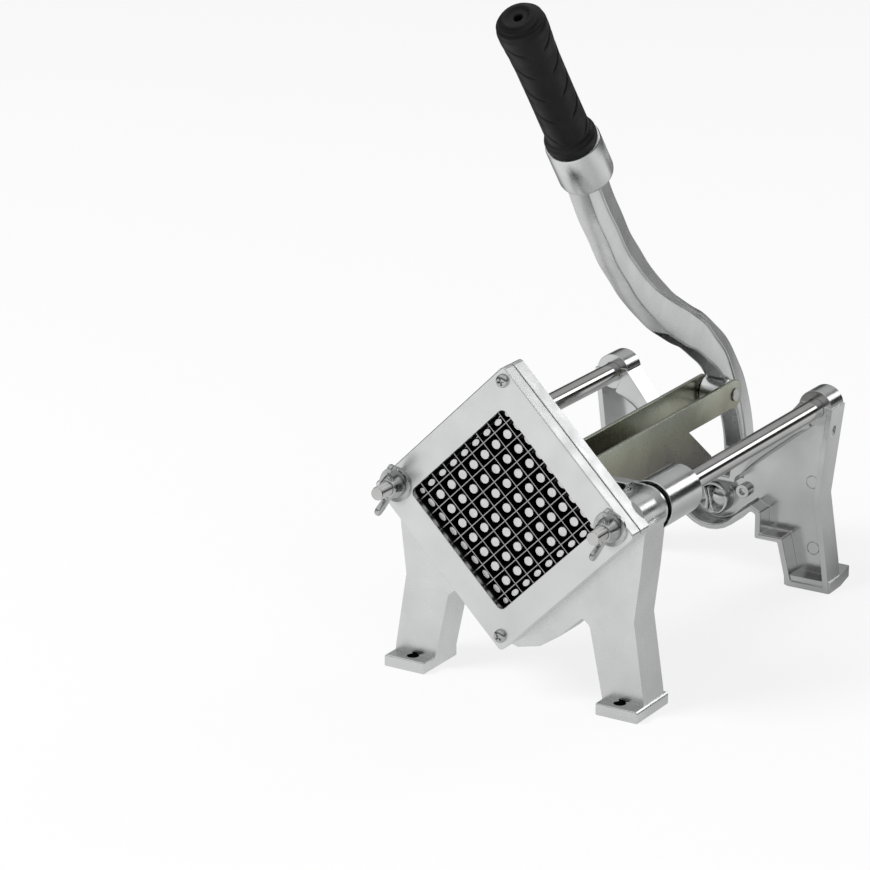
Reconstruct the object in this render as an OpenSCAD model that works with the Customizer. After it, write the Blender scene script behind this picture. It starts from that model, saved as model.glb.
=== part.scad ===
// French fry cutter: fixed blade grid in a diamond frame, pusher on two guide rods, long hand lever.
// Millimetres. X to the right, Y from the blade grid to the lever pivot, Z up, Z 0 under the feet.

/* [Overall] */
// Height of the grid's centre above the table
centre_h = 111.5; // [108:0.5:125]
// Front face of the cover plate to the front of the rear frame
frame_gap = 246; // [240:1:270]

/* [Cover and ring] */
// Side of the square window in the cover
window_side = 83.3; // [80:0.1:86]
// Width of the cover around the window
cover_border = 16.85; // [15:0.05:19]
// Radius on the square's corners
cover_corner = 2.5; // [1:0.5:5]
// Thickness of the cover plate
cover_t = 8.7; // [7:0.1:11]
// Front wall of the cover, in front of the blade holder
cover_lip = 3.2; // [2.4:0.1:4.5]
// Radius in the window's corners
window_r = 3.5; // [1:0.5:6]
// Thickness of the frame's ring behind the cover
ring_t = 10.2; // [9:0.1:13]
// Lip of the ring behind the blade holder
ring_lip = 2.6; // [1.6:0.1:3.5]

/* [Blade grid] */
// Distance between blades
pitch = 10; // [9.6:0.1:10.2]
// Thickness of one blade
blade_t = 0.5; // [0.4:0.05:0.8]
// Depth of one blade, front edge to cutting edge
blade_w = 11.6; // [9:0.1:12]
// Blades each way
blade_n = 8; // [8:2:8]
// Wall of the blade holder
holder_wall = 8.35; // [7:0.05:9]
// Gap between the holder's cut corners and the studs
clip_gap = 3.2; // [2:0.1:4]
// Radius in the corners of the holder's window
holder_r = 2; // [0.5:0.1:2.5]
// Depth of the blades' seats in the holder
blade_seat = 5; // [3:0.1:6]
// Gap around a blade in a slot
blade_gap = 0.05; // [0.03:0.01:0.1]
// Gap between the holder and its seat
holder_gap = 0.2; // [0.1:0.05:0.4]

/* [Front frame] */
// Thickness of the web behind the ring
web_t = 4; // [3:0.1:6]
// Depth of the legs, web included
leg_depth = 23; // [20:0.5:23.5]
// Thickness of the leg walls
leg_wall = 3.5; // [2.5:0.1:4.5]
// Margin of the web's square hole around the window
web_margin = 3.35; // [2.8:0.05:4.5]
// Radius of the rod bosses
front_boss_r = 13; // [11:0.1:14]
// Width of the feet; outer edge inside the cover's corners
foot_w = 26.4; // [24:0.1:29]
foot_set = 0.9; // [0.4:0.1:3]
// Front and back edge of the front feet
foot_front = 9; // [6:0.5:10]
foot_back = 45; // [43:0.5:50]
// Thickness of the feet
foot_t = 7; // [5:0.1:9]
// Radius of the foot holes
foot_hole_r = 3.5; // [2.5:0.1:4.5]
// Foot holes inside the line of the rods
hole_in = 1.2; // [0:0.1:2]
// Front foot holes behind the cover's front face
front_hole_y = 16; // [14:0.1:18]

/* [Rear frame] */
// Depth of the rear frame
rear_depth = 17; // [15:0.1:20]
// Thickness of its web, at the back
rear_web = 4; // [3:0.1:6]
// Thickness of its rim
rear_wall = 3.6; // [2.6:0.1:4.5]
// Radius of the rod bosses
rear_boss_r = 10.8; // [9.6:0.1:12]
// Length of the rear feet, from the frame's front
rear_foot_len = 36; // [33:0.5:42]
// Rear foot holes behind the rear frame's front
rear_hole_y = 27; // [25:0.1:29]
// Notch for the link: gap beside the link at the bottom, height of its bottom over the lever's pivot
notch_gap = 1.4; // [1:0.1:3]
notch_up = 18.5; // [14:0.5:19.5]
// Height of the notch's upright sides, and how far they lean out
notch_side_h = 10; // [8:0.5:14]
notch_lean = 1.6; // [0:0.1:3]
// Where the notch's edge bends: from the middle, and above the lever's pivot
notch_knee_x = 34; // [31:0.5:37]
notch_knee_up = 43; // [40:0.5:48]
// Height of the solid arms beside the notch, at their lower ends
arm_h = 11.5; // [8:0.5:14]
// Radius of the rounded nose under the hub, and its centre above the pivot
nose_r = 24; // [22:0.5:26]
nose_up = 6.5; // [5:0.5:8]
// Radius of the round hub boss
hub_r = 10.5; // [8:0.1:12]
// Small round bosses beside the hub: distance from the middle, diameter, length in front of the plate
ring_lug_x = 17.6; // [16:0.1:22]
ring_lug_d = 8.6; // [6:0.1:9]
ring_lug_len = 4; // [2:0.5:8]

/* [Guide rods] */
// Rods outside the window's corners
rod_out = 9.3; // [8.6:0.1:10]
// Rods above the grid's centre
rod_z = 2.7; // [1:0.1:4]
// Diameter of the rods
rod_d = 12; // [11:0.1:13]
// Diameter of the studs on their front ends
stud_d = 8; // [7:0.1:8.2]
// Length of the stud in front of the cover
stud_out = 20; // [17:0.5:25]
// Gap around the rods and studs in the frames
seat_gap = 0.05; // [0.02:0.01:0.1]
// Wall left behind the rods in the rear bosses
rod_stop = 2; // [1:0.1:4]

/* [Fasteners] */
// Diameter and thickness of the washers
washer_d = 20; // [16:0.5:21]
washer_t = 1.6; // [1:0.1:2.5]
// Wing nut: body diameter, body height, tip radius, wing thickness
nut_d = 14.5; // [13:0.1:16]
nut_h = 8; // [6:0.1:10]
wing_r = 17; // [14:0.1:18]
wing_t = 3.4; // [2.5:0.1:4.5]
// Lean of the wings from upright
wing_lean = 17; // [0:1:45]
// Gap between the wing nuts and the studs
nut_gap = 0.06; // [0.03:0.01:0.1]
// Cover screws: distance of each from the cover's corner
screw_in_top = 8.4; // [7.5:0.1:9.4]
screw_in_bottom = 9.3; // [7.5:0.1:9.8]
// Cover screws: shank and head diameter, head height
screw_d = 4; // [3:0.1:5]
screw_head_d = 7.6; // [6:0.1:8.5]
screw_head_h = 2.6; // [1.6:0.1:3.5]
// Diameter of the set screws in the rear bosses
set_screw_d = 5; // [4:0.1:6]

/* [Carriage] */
// Space between the front frame's legs and the carriage
carriage_gap = 1.1; // [0.8:0.1:1.5]
// Thickness of the cross plate
plate_t = 8; // [6:0.1:9]
// Height of the cross plate at the rods
plate_h = 26; // [20:0.5:29]
// Radius and length of the bush collars
collar_r = 14.5; // [13:0.1:15]
collar_len = 35; // [30:0.5:40]
// Outer radius of the bushes
bush_r = 9; // [8:0.1:10]
// Running gap between bushes and rods
bush_gap = 0.05; // [0.03:0.01:0.09]
// Gap between the pusher's base and the hole in the web
pusher_gap = 2; // [1:0.1:3]
// Gap between the outer fingers and the window's edge
window_gap = 0.85; // [0.5:0.05:1.2]
// Side of the mount plate behind the pusher
mount_side = 62; // [56:0.5:66]
// Thickness of the pusher's base and of the mount plate
pusher_t = 12; // [9:0.1:12.5]
mount_t = 5; // [4:0.1:6]
// Gap between the fingers and the blades
finger_gap = 0.5; // [0.4:0.05:0.8]
// Length of the fingers' square part
post_len = 12; // [8:0.5:16]
// Diameter of the finger tips
tip_d = 5.6; // [4:0.1:7]
// Finger tips behind the cover's front face
tip_y = 5.3; // [4.8:0.1:7]
// Thickness of the link lugs and their length behind the plate
lug_t = 6; // [5:0.1:8]
lug_len = 17; // [16:0.5:19]

/* [Link] */
// Thickness of the spacers beside the lever
spacer_t = 1.2; // [0.8:0.1:1.6]
// Thickness of its sheet
link_t = 2.5; // [2:0.1:2.6]
// Rear pin in front of the lever's pivot
pin_dy = 37.1; // [36:0.1:38]
// Radius around the pins
link_end_r = 9; // [8:0.1:9.5]
// Depth of the link's front part below the pins
link_deep = 33; // [28:0.5:35]
// Lower edge of the narrow arm below the pins
link_arm = 8; // [7:0.1:9]
// Length of the link's floor
link_floor = 112; // [60:1:116]
// Gap between the link and the carriage's lugs
link_side_gap = 1.5; // [1:0.1:2.5]
// Diameter of the link's front pin and of the rear pin
front_pin_d = 8; // [6:0.1:10]
pin_d = 6; // [5:0.1:7]
// Upset ends of the rear pin: diameter and height
pin_head_d = 8; // [7.4:0.1:10]
pin_head_h = 1; // [0.6:0.1:2]
// Running gap of the link and the lever on their pins
pin_gap = 0.05; // [0.03:0.01:0.09]

/* [Lever] */
// Pivot behind the rear frame's front and below the grid's centre
pivot_dy = 44; // [42:0.5:46]
pivot_z = 68; // [66:0.5:69]
// Lever width
lever_w = 16; // [14:0.1:16.4]
// Thickness of its flanges, web and side plates
flange_t = 5; // [4:0.1:6]
lever_web = 5; // [4:0.1:7]
side_t = 2.8; // [2:0.1:4]
// Radius of the lever's end at the pivot
lever_end_r = 9.5; // [8.6:0.1:10]
// Pivot bolt and the bush around it
pivot_d = 8; // [7:0.1:9]
pivot_bush_t = 2; // [1.5:0.1:3]
// Radius and thickness of the pivot lugs, and the gap beside the lever
pivot_lug_r = 10.5; // [10:0.1:10.5]
// How far the lower edge of a pivot lug lies below the pivot at its root
pivot_lug_foot = 7; // [4:0.5:8]
pivot_lug_t = 8; // [6:0.1:10]
pivot_side_gap = 1; // [0.6:0.1:1.5]
// Hex head and nut across flats, and their height
hex_af = 13; // [11:0.5:15]
hex_h = 5.3; // [4:0.1:7]
// Handle socket: diameter and length
socket_d = 31.5; // [30:0.1:34]
socket_len = 32; // [28:0.5:36]
// Grip: diameter, length, flange diameter and flange length
grip_d = 25.3; // [24:0.1:28]
grip_len = 102; // [94:1:112]
// Diameter of the grip's thicker end
grip_end_d = 28; // [26:0.1:30]
grip_flange_d = 29.5; // [28:0.1:30.5]
grip_flange_len = 9; // [6:0.5:14]
// Tang of the lever inside the grip
tang_d = 13; // [10:0.1:16]
tang_len = 70; // [40:1:80]
// Hole in the grip's end
tip_hole_d = 4.5; // [3:0.1:6]

/* [Hidden] */
$fn = 48;
cover_side = window_side + 2 * cover_border;
corner_x = cover_side / sqrt(2);
screw_top = corner_x - screw_in_top;
screw_bottom = corner_x - screw_in_bottom;
holder_side = window_side + 2 * holder_wall;
web_side = window_side + 2 * web_margin;
pusher_side = web_side - 2 * pusher_gap;
rod_x = window_side / sqrt(2) + rod_out;
holder_clip = rod_x - stud_d / 2 - clip_gap;
foot_out = corner_x - foot_set;
foot_in = foot_out - foot_w;
foot_hole_x = rod_x - hole_in;
web_y = cover_t + ring_t;
leg_back = web_y + leg_depth;
rear_y = frame_gap;
rear_back = rear_y + rear_depth;
pivot_y = rear_y + pivot_dy;
y_mid = (pivot_y + pivot_lug_r - stud_out) / 2;
foot_bottom = -centre_h;
holder_y = cover_lip;
holder_depth = web_y - ring_lip - cover_lip - 2 * holder_gap;
blade_y = holder_y + (holder_depth - blade_w) / 2;
blade_len = window_side + 2 * blade_seat;
blade_span = (blade_n - 1) * pitch;
plate_y = leg_back + carriage_gap;
mount_y = plate_y - mount_t;
pusher_y = mount_y - pusher_t;
lug_back = plate_y + plate_t + lug_len;
front_pin_y = lug_back - link_end_r + 0.9;
pin_y = pivot_y - pin_dy;
link_end_gap = 0.3;
link_in = lever_w / 2 + spacer_t + link_end_gap;
link_w = 2 * (link_in + link_t);
lug_in = link_w / 2 + link_side_gap;
notch_half = link_w / 2 + notch_gap;
notch_bottom = notch_up - pivot_z;
post = pitch - blade_t - 2 * finger_gap;
grip_dir = [-58.5, 77.5] / norm([-58.5, 77.5]);
lever_base = [pivot_y, -pivot_z];
socket_start = lever_base + [-198.5, 235];
socket_top = socket_start + grip_dir * socket_len;
grip_turn = atan2(-grip_dir[0], grip_dir[1]);

aluminium = [0.82, 0.83, 0.84];
steel = [0.7, 0.72, 0.74];
zinc = [0.72, 0.7, 0.5];
black = [0.1, 0.1, 0.1];

// Moves everything from the grid's centre to the part's own origin.
module place() {
    translate([0, -y_mid, centre_h]) children();
}
// A flat outline in X and Z, from y0 backwards.
module slab(y0, t) {
    translate([0, y0 + t, 0]) rotate([90, 0, 0]) linear_extrude(t) children();
}
// A flat outline in Y and Z, centred on X.
module side(w) {
    translate([-w / 2, 0, 0]) rotate([90, 0, 90]) linear_extrude(w) children();
}
// A round bar along Y.
module bar_y(x, z, y0, len, d) {
    translate([x, y0, z]) rotate([-90, 0, 0]) cylinder(h = len, d = d);
}
// A round bar along X.
module bar_x(x0, y, z, len, d) {
    translate([x0, y, z]) rotate([0, 90, 0]) cylinder(h = len, d = d);
}
module diamond(s) {
    rotate(45) square(s, center = true);
}
module both() {
    children();
    mirror([1, 0, 0]) children();
}
function unit(v) = v / norm(v);
function fillet(a, b, c, r, n) =
    let(u = unit(a - b), v = unit(c - b), h = acos(u * v) / 2, d = r / tan(h),
        m = b + unit(u + v) * r / sin(h), p = b + u * d - m, q = b + v * d - m,
        s = atan2(p[1], p[0]), e = atan2(q[1], q[0]), w = (e - s + 540) % 360 - 180)
    [for (i = [0:n]) m + r * [cos(s + w * i / n), sin(s + w * i / n)]];
function rounded(p, r, n = 5) =
    [for (i = [0:len(p) - 1]) each fillet(p[(i + len(p) - 1) % len(p)], p[i], p[(i + 1) % len(p)], r, n)];
function mirrored(p) = concat(p, [for (i = [len(p) - 1:-1:0]) if (abs(p[i][0]) > 0.01) [-p[i][0], p[i][1]]]);
function inset(p, d) =
    [for (i = [0:len(p) - 1])
        let(a = p[(i + len(p) - 1) % len(p)], b = p[i], c = p[(i + 1) % len(p)],
            u = unit(b - a), v = unit(c - b), m = [-u[1], u[0]], k = [-v[1], v[0]])
        b + (m + k) * d / (1 + m * k)];
function square_pts(s) = [[0, -s], [s, 0], [0, s], [-s, 0]] / sqrt(2);

// The outlines of the two frames, right half, from the bottom middle round to the top middle.
front_half = [
    [0, -corner_x - 3.7], [14, -corner_x - 0.3], [foot_in - 28.8, 8.2 - corner_x],
    [foot_in - 14.4, 21.7 - corner_x],
    [foot_in - 9.9, 18.2 - corner_x], [foot_in - 2.4, 11.5 - centre_h], [foot_in, -centre_h],
    [foot_out - 0.6, -centre_h], [foot_out - 1.8, 10.5 - centre_h], [corner_x - 9.5, -57],
    [corner_x - 6.1, -29], [corner_x - 3.7, -3], [corner_x - 3.7, 3.5],
    [corner_x - 16.2, 16], [0, 16],
];
nose = [for (a = [0:13:52]) [nose_r * sin(a), nose_up - pivot_z - nose_r * cos(a)]];
notch = [
    [rod_x - 9.2, 6], [notch_knee_x, notch_knee_up - pivot_z],
    [notch_half + notch_lean, notch_bottom + notch_side_h], [notch_half, notch_bottom],
];
rear_half = [
    each nose, [foot_in - 27.4, -pivot_z - 1], [foot_in - 24.4, -pivot_z - 2.5],
    [foot_in - 24.4, -pivot_z - 17.5], [foot_in - 8.8, -pivot_z - 17.5], [foot_in - 3.9, 6.5 - centre_h],
    [foot_in - 1.9, -centre_h], [foot_out - 0.3, -centre_h], [foot_out - 2.3, 16.5 - centre_h],
    [corner_x - 9.7, -53], [corner_x - 5.7, -20], [corner_x - 2.7, 4], each notch,
];
// The solid arms between the notch and the pockets, from the hub up to the rod bosses.
rear_arm = [
    each notch, [notch_half + notch_lean, notch_bottom + notch_side_h - arm_h],
    [rod_x - 2.4, rod_z - rear_boss_r - 0.8],
];

module holder_outline(gap) {
    intersection() {
        diamond(holder_side + 2 * gap);
        square(2 * (holder_clip + gap), center = true);
    }
}
module stud_holes(y0, len) {
    both() bar_y(rod_x, rod_z, y0, len, stud_d + 2 * seat_gap);
}
module screw_places() {
    for (z = [screw_top, -screw_bottom]) translate([0, 0, z]) children();
}

module cover_plate() color(aluminium) place() difference() {
    slab(0, cover_t) polygon(rounded(square_pts(cover_side), cover_corner));
    slab(-1, cover_t + 2) polygon(rounded(square_pts(window_side), window_r));
    slab(cover_lip, cover_t) holder_outline(holder_gap);
    stud_holes(-1, cover_t + 2);
    screw_places() bar_y(0, 0, -1, cover_t + 2, screw_d + 2 * seat_gap);
}

module cover_screws() color(steel) place() screw_places() {
    bar_y(0, 0, -screw_head_h, screw_head_h, screw_head_d);
    bar_y(0, 0, 0, web_y - ring_lip, screw_d);
}

module front_frame() color(aluminium) place() difference() {
    union() {
        slab(cover_t, ring_t) polygon(rounded(square_pts(cover_side), cover_corner));
        slab(web_y, leg_depth) polygon(mirrored(front_half));
        both() bar_y(rod_x, rod_z, web_y, leg_depth + 0.5, 2 * front_boss_r);
        both() translate([foot_in, foot_front, foot_bottom])
            cube([foot_out - foot_in, foot_back - foot_front, foot_t]);
    }
    slab(cover_t - 1, ring_t - ring_lip + 1) holder_outline(holder_gap);
    slab(cover_t, leg_depth + ring_t + 1) diamond(web_side);
    difference() {
        slab(web_y + web_t, leg_depth) difference() {
            polygon(inset(mirrored(front_half), leg_wall));
            diamond(web_side + 2 * leg_wall);
        }
        both() bar_y(rod_x, rod_z, web_y, leg_depth + 0.5, 2 * front_boss_r);
        translate([-foot_out, 0, foot_bottom - 1])
            cube([2 * foot_out, foot_back + 1, foot_t + 1]);
    }
    stud_holes(cover_t - 1, ring_t + 2);
    both() bar_y(rod_x, rod_z, web_y, leg_depth + 2, rod_d + 2 * seat_gap);
    screw_places() bar_y(0, 0, cover_t - 1, ring_t - ring_lip + 1.2, screw_d + 2 * seat_gap);
    both() translate([foot_hole_x, front_hole_y, foot_bottom - 1])
        cylinder(h = foot_t + 2, r = foot_hole_r);
}

module blade_holder() color(steel) place() difference() {
    slab(holder_y + holder_gap, holder_depth) holder_outline(0);
    slab(holder_y - 1, holder_depth + 3) polygon(rounded(square_pts(window_side), holder_r));
    for (turn = [0, 90]) rotate([0, 45 + turn, 0])
        for (i = [0:blade_n - 1])
            translate([i * pitch - blade_span / 2, 0, 0])
                translate([-blade_t / 2 - blade_gap, blade_y - blade_gap, -blade_len / 2 - blade_gap])
                    cube([blade_t + 2 * blade_gap, blade_w + 2 * blade_gap, blade_len + 2 * blade_gap]);
}

// One set of blades; the slots reach the middle from the front or from the back.
module blade_set(turn, slot_y) {
    rotate([0, turn, 0]) difference() {
        for (i = [0:blade_n - 1])
            translate([i * pitch - blade_span / 2 - blade_t / 2, blade_y, -blade_len / 2])
                cube([blade_t, blade_w, blade_len]);
        for (k = [0:blade_n - 1])
            translate([-blade_len / 2, slot_y, k * pitch - blade_span / 2 - blade_t / 2 - blade_gap])
                cube([blade_len, blade_w / 2 + 1, blade_t + 2 * blade_gap]);
    }
}
module blades_rising() color(steel) place() blade_set(45, blade_y - 1 + blade_gap);
module blades_falling() color(steel) place() blade_set(-45, blade_y + blade_w / 2 - blade_gap);

module guide_rod() {
    bar_y(rod_x, rod_z, web_y + seat_gap, rear_back - rod_stop - web_y - 2 * seat_gap, rod_d);
    bar_y(rod_x, rod_z, -stud_out, web_y + stud_out + 1, stud_d);
}
module guide_rod_right() color(steel) place() guide_rod();
module guide_rod_left() color(steel) place() mirror([1, 0, 0]) guide_rod();

module washer() difference() {
    bar_y(rod_x, rod_z, -washer_t, washer_t, washer_d);
    bar_y(rod_x, rod_z, -washer_t - 1, washer_t + 2, stud_d + 2 * seat_gap);
}
module washer_right() color(steel) place() washer();
module washer_left() color(steel) place() mirror([1, 0, 0]) washer();

wing_pts = [[nut_d / 2 - 3, 0.5], [nut_d / 2, 0.5], [wing_r - 1.5, nut_h + 1], [wing_r, nut_h + 5.5],
    [wing_r - 3, nut_h + 7.5], [nut_d / 2 + 1.5, nut_h + 3.5], [nut_d / 2 - 2, nut_h]];
// The wings spread forwards from the body, which turns on the stud.
module wing_nut(x) translate([x, -washer_t - seat_gap, rod_z]) rotate([0, wing_lean, 0]) difference() {
    union() {
        rotate([90, 0, 0]) cylinder(h = nut_h, d1 = nut_d, d2 = nut_d - 2.5);
        for (turn = [0, 180]) rotate([0, turn, 0]) translate([-wing_t / 2, 0, 0])
            rotate([90, 0, 90]) linear_extrude(wing_t)
                polygon([for (p = wing_pts) [-p[1], p[0]]]);
    }
    rotate([90, 0, 0]) translate([0, 0, -1]) cylinder(h = nut_h + 2, d = stud_d + 2 * nut_gap);
    rotate([90, 0, 0]) translate([0, 0, nut_h]) cylinder(h = 9, d = stud_d + 4);
}
module wing_nut_right() color(steel) place() wing_nut(rod_x);
module wing_nut_left() color(steel) place() wing_nut(-rod_x);

module pivot_lug() {
    lug_x = lever_w / 2 + pivot_side_gap;
    translate([lug_x, 0, 0]) rotate([90, 0, 90]) linear_extrude(pivot_lug_t) union() {
        translate([pivot_y, -pivot_z]) circle(pivot_lug_r);
        polygon([[rear_back - 1, -pivot_z - pivot_lug_foot], [pivot_y, -pivot_z - pivot_lug_r],
            [pivot_y, -pivot_z + pivot_lug_r], [rear_back - 1, -pivot_z + pivot_lug_r]]);
    }
}
module rear_frame() color(aluminium) place() difference() {
    union() {
        difference() {
            slab(rear_y, rear_depth) polygon(mirrored(rear_half));
            slab(rear_y - 1, rear_depth - rear_web + 1)
                polygon(inset(mirrored(rear_half), rear_wall));
        }
        both() slab(rear_y, rear_depth - 1) polygon(rear_arm);
        both() bar_y(rod_x, rod_z, rear_y + 1, rear_depth - 1, 2 * rear_boss_r);
        both() pivot_lug();
        bar_y(0, -pivot_z + 1, rear_y + 4, rear_depth - 5, 2 * hub_r);
        both() bar_y(ring_lug_x, 7 - pivot_z, rear_back - rear_web - ring_lug_len, ring_lug_len + rear_web - 1,
            ring_lug_d);
        both() translate([0, 0, foot_bottom]) linear_extrude(foot_t)
            polygon([[foot_in - 3.9, rear_y + 1], [foot_out + 0.2, rear_y + 1], [foot_out - 0.3, rear_back],
                [foot_out - 3.8, rear_y + rear_foot_len], [foot_in + 0.6, rear_y + rear_foot_len],
                [foot_in - 3.4, rear_back]]);
    }
    both() bar_y(rod_x, rod_z, rear_y - 1, rear_depth + 1 - rod_stop, rod_d + 2 * seat_gap);
    both() translate([foot_hole_x, rear_y + rear_hole_y, foot_bottom - 1])
        cylinder(h = foot_t + 2, r = foot_hole_r);
    bar_x(-50, pivot_y, -pivot_z, 100, pivot_d + 2 * seat_gap);
    set_screw_places() cylinder(h = 20, d = set_screw_d + 2 * seat_gap);
}
// The screws press on the rods from below, on the right of each boss.
module set_screw_places() {
    for (x = [-rod_x, rod_x])
        translate([x, rear_y + 6.5, rod_z]) rotate([0, 145, 0]) children();
}
module rod_set_screws() color(steel) place() difference() {
    set_screw_places() translate([0, 0, rod_d / 2 + seat_gap])
        cylinder(h = rear_boss_r - rod_d / 2 - seat_gap, d = set_screw_d);
    set_screw_places() translate([0, 0, rear_boss_r - 2]) cylinder(h = 3, d = 2.5, $fn = 6);
}

lug_out = lever_w / 2 + pivot_side_gap + pivot_lug_t;
module hex(x0, y, z, bore) difference() {
    translate([x0, y, z]) rotate([0, 90, 0]) cylinder(h = hex_h, d = hex_af / cos(30), $fn = 6);
    if (bore > 0) bar_x(x0 - 1, y, z, hex_h + 2, bore);
}
module pivot_bolt() color(steel) place() union() {
    hex(-lug_out - hex_h, pivot_y, -pivot_z, 0);
    bar_x(-lug_out, pivot_y, -pivot_z, 2 * lug_out + hex_h + 2, pivot_d);
}
module pivot_nut() color(steel) place() hex(lug_out, pivot_y, -pivot_z, pivot_d + 2 * seat_gap);
module pivot_washers() color(steel) place() both() difference() {
    bar_x(lever_w / 2 + 0.15, pivot_y, -pivot_z, pivot_side_gap - 0.15, 15);
    bar_x(0, pivot_y, -pivot_z, lug_out, pivot_d + 2 * seat_gap);
}

// Middle line of the lever from its pivot, socket first, and half its depth at each point.
lever_rel = [[-198.5, 234], [-189, 218.5], [-177, 203], [-166, 188], [-154, 175.5], [-143, 164],
    [-131, 153.5], [-119, 144], [-107.5, 135.5], [-95, 128], [-82, 120.5], [-70, 114.5], [-56, 105],
    [-41, 94], [-28, 80], [-16, 63], [-5, 35], [0, 0]];
lever_mid = [for (p = lever_rel) lever_base + p];
lever_half = [13.5, 12.6, 12, 12, 12, 12, 12, 12, 11.8, 11.5, 11, 10.6, 10.2, 10, 9.8, 9.5, 9.2, 9];
lever_n = len(lever_mid) - 1;
function way(i) = unit(lever_mid[min(i + 1, lever_n)] - lever_mid[max(i - 1, 0)]);
function edge(i, d) = lever_mid[i] + [way(i)[1], -way(i)[0]] * d;
function band(a, b, lo, hi) = concat(
    [for (i = [a:b]) edge(i, lo < 0 ? lo - 0 : lo)],
    [for (i = [b:-1:a]) edge(i, hi)]);
function back_edge(i, d) = edge(i, -lever_half[i] + d);
function front_edge(i, d) = edge(i, lever_half[i] - d);
function strip(a, b, f, r) = concat(
    [for (i = [a:b]) front_edge(i, f)],
    [for (i = [b:-1:a]) back_edge(i, r)]);
fork_at = 8;
module lever_outline() {
    polygon(strip(0, lever_n, 0, 0));
    translate([pivot_y, -pivot_z]) circle(lever_end_r);
    translate([pin_y, 0]) circle(link_end_r);
    polygon([[pin_y, -link_end_r], front_edge(16, 0), back_edge(15, 2), back_edge(13, 3),
        front_edge(13, 0), [pin_y - 8, 4]]);
}
module lever() color(aluminium) place() difference() {
    union() {
        difference() {
            side(lever_w) lever_outline();
            // pockets on both sides of the upper part leave the web
            both() translate([lever_web / 2, 0, 0]) rotate([90, 0, 90]) linear_extrude(lever_w)
                polygon(strip(1, fork_at - 1, flange_t, flange_t));
            // the lower part opens forwards between two side plates
            side(lever_w - 2 * side_t) polygon(concat(
                [for (i = [fork_at:lever_n - 1]) front_edge(i, -22)],
                [for (i = [lever_n - 1:-1:fork_at]) back_edge(i, flange_t)]));
        }
        bar_x(-lever_w / 2, pin_y, 0, lever_w, 2 * link_end_r - 1);
        bar_x(-lever_w / 2, pivot_y, -pivot_z, lever_w, 2 * lever_end_r);
        translate([0, socket_start[0], socket_start[1]]) rotate([grip_turn, 0, 0])
            translate([0, 0, -4]) cylinder(h = socket_len + 4, d = socket_d);
        translate([0, socket_start[0], socket_start[1]]) rotate([grip_turn, 0, 0])
            cylinder(h = socket_len + tang_len, d = tang_d);
    }
    bar_x(-lever_w, pivot_y, -pivot_z, 2 * lever_w, pivot_d + 2 * pin_gap + 2 * pivot_bush_t);
    bar_x(-lever_w, pin_y, 0, 2 * lever_w, pin_d + 2 * seat_gap);
}
module lever_bush() color([0.75, 0.6, 0.3]) place() difference() {
    bar_x(-lever_w / 2, pivot_y, -pivot_z, lever_w, pivot_d + 2 * pin_gap + 2 * pivot_bush_t - 2 * seat_gap);
    bar_x(-lever_w, pivot_y, -pivot_z, 2 * lever_w, pivot_d + 2 * pin_gap);
}
grip_pts = [[0, 0], [grip_flange_d / 2, 0], [grip_flange_d / 2 + 0.4, 2], [grip_flange_d / 2, grip_flange_len - 4],
    [grip_d / 2, grip_flange_len], [grip_d / 2, grip_len - 40], [grip_end_d / 2, grip_len - 14],
    [grip_end_d / 2 - 0.3, grip_len - 9], [grip_end_d / 2 - 1.6, grip_len - 5.2],
    [grip_end_d / 2 - 4.2, grip_len - 2.2], [grip_end_d / 2 - 7.5, grip_len - 0.6], [0, grip_len]];
module grip() color(black) place() translate([0, socket_top[0], socket_top[1]])
    rotate([grip_turn, 0, 0]) difference() {
        rotate_extrude() polygon(grip_pts);
        translate([0, 0, -1]) cylinder(h = tang_len + 1.5, d = tang_d + 2 * seat_gap);
        cylinder(h = grip_len + 5, d = tip_hole_d);
    }

module link_pin() color(steel) place() union() {
    bar_x(-link_w / 2 - link_end_gap, pin_y, 0, link_w + 2 * link_end_gap, pin_d);
    both() bar_x(link_w / 2 + link_end_gap, pin_y, 0, pin_head_h, pin_head_d);
}
module link_spacers() color(steel) place() both() difference() {
    bar_x(lever_w / 2, pin_y, 0, spacer_t, 12);
    bar_x(0, pin_y, 0, lever_w, pin_d + 2 * seat_gap);
}

// Side of the link: deep from the front pin on, then a narrow arm that ends round at the rear pin.
module link_side() {
    translate([front_pin_y, 0]) circle(link_end_r - 1);
    translate([pin_y, 0]) circle(link_end_r);
    polygon([[front_pin_y, link_end_r - 1], [front_pin_y - link_end_r + 1, 0],
        [front_pin_y, -link_deep + 5], [front_pin_y + 6, -link_deep], [pin_y - 31, -link_deep],
        [pin_y - 27.5, 2 - link_deep], [pin_y - 57, -link_arm], [pin_y - 1, -link_arm],
        [pin_y, 0], [pin_y, link_end_r]]);
}
module link() color(zinc) place() difference() {
    union() {
        both() translate([link_in, 0, 0]) rotate([90, 0, 90]) linear_extrude(link_t) link_side();
        translate([-link_in - 0.5, front_pin_y + 16, -link_deep])
            cube([2 * link_in + 1, link_floor, link_t]);
    }
    bar_x(-link_w, front_pin_y, 0, 2 * link_w, front_pin_d + 2 * seat_gap);
    bar_x(-link_w, pin_y, 0, 2 * link_w, pin_d + 2 * pin_gap);
}
module link_front_pin() color(steel) place()
    bar_x(-lug_in + 0.3, front_pin_y, 0, 2 * lug_in - 0.6, front_pin_d);

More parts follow.
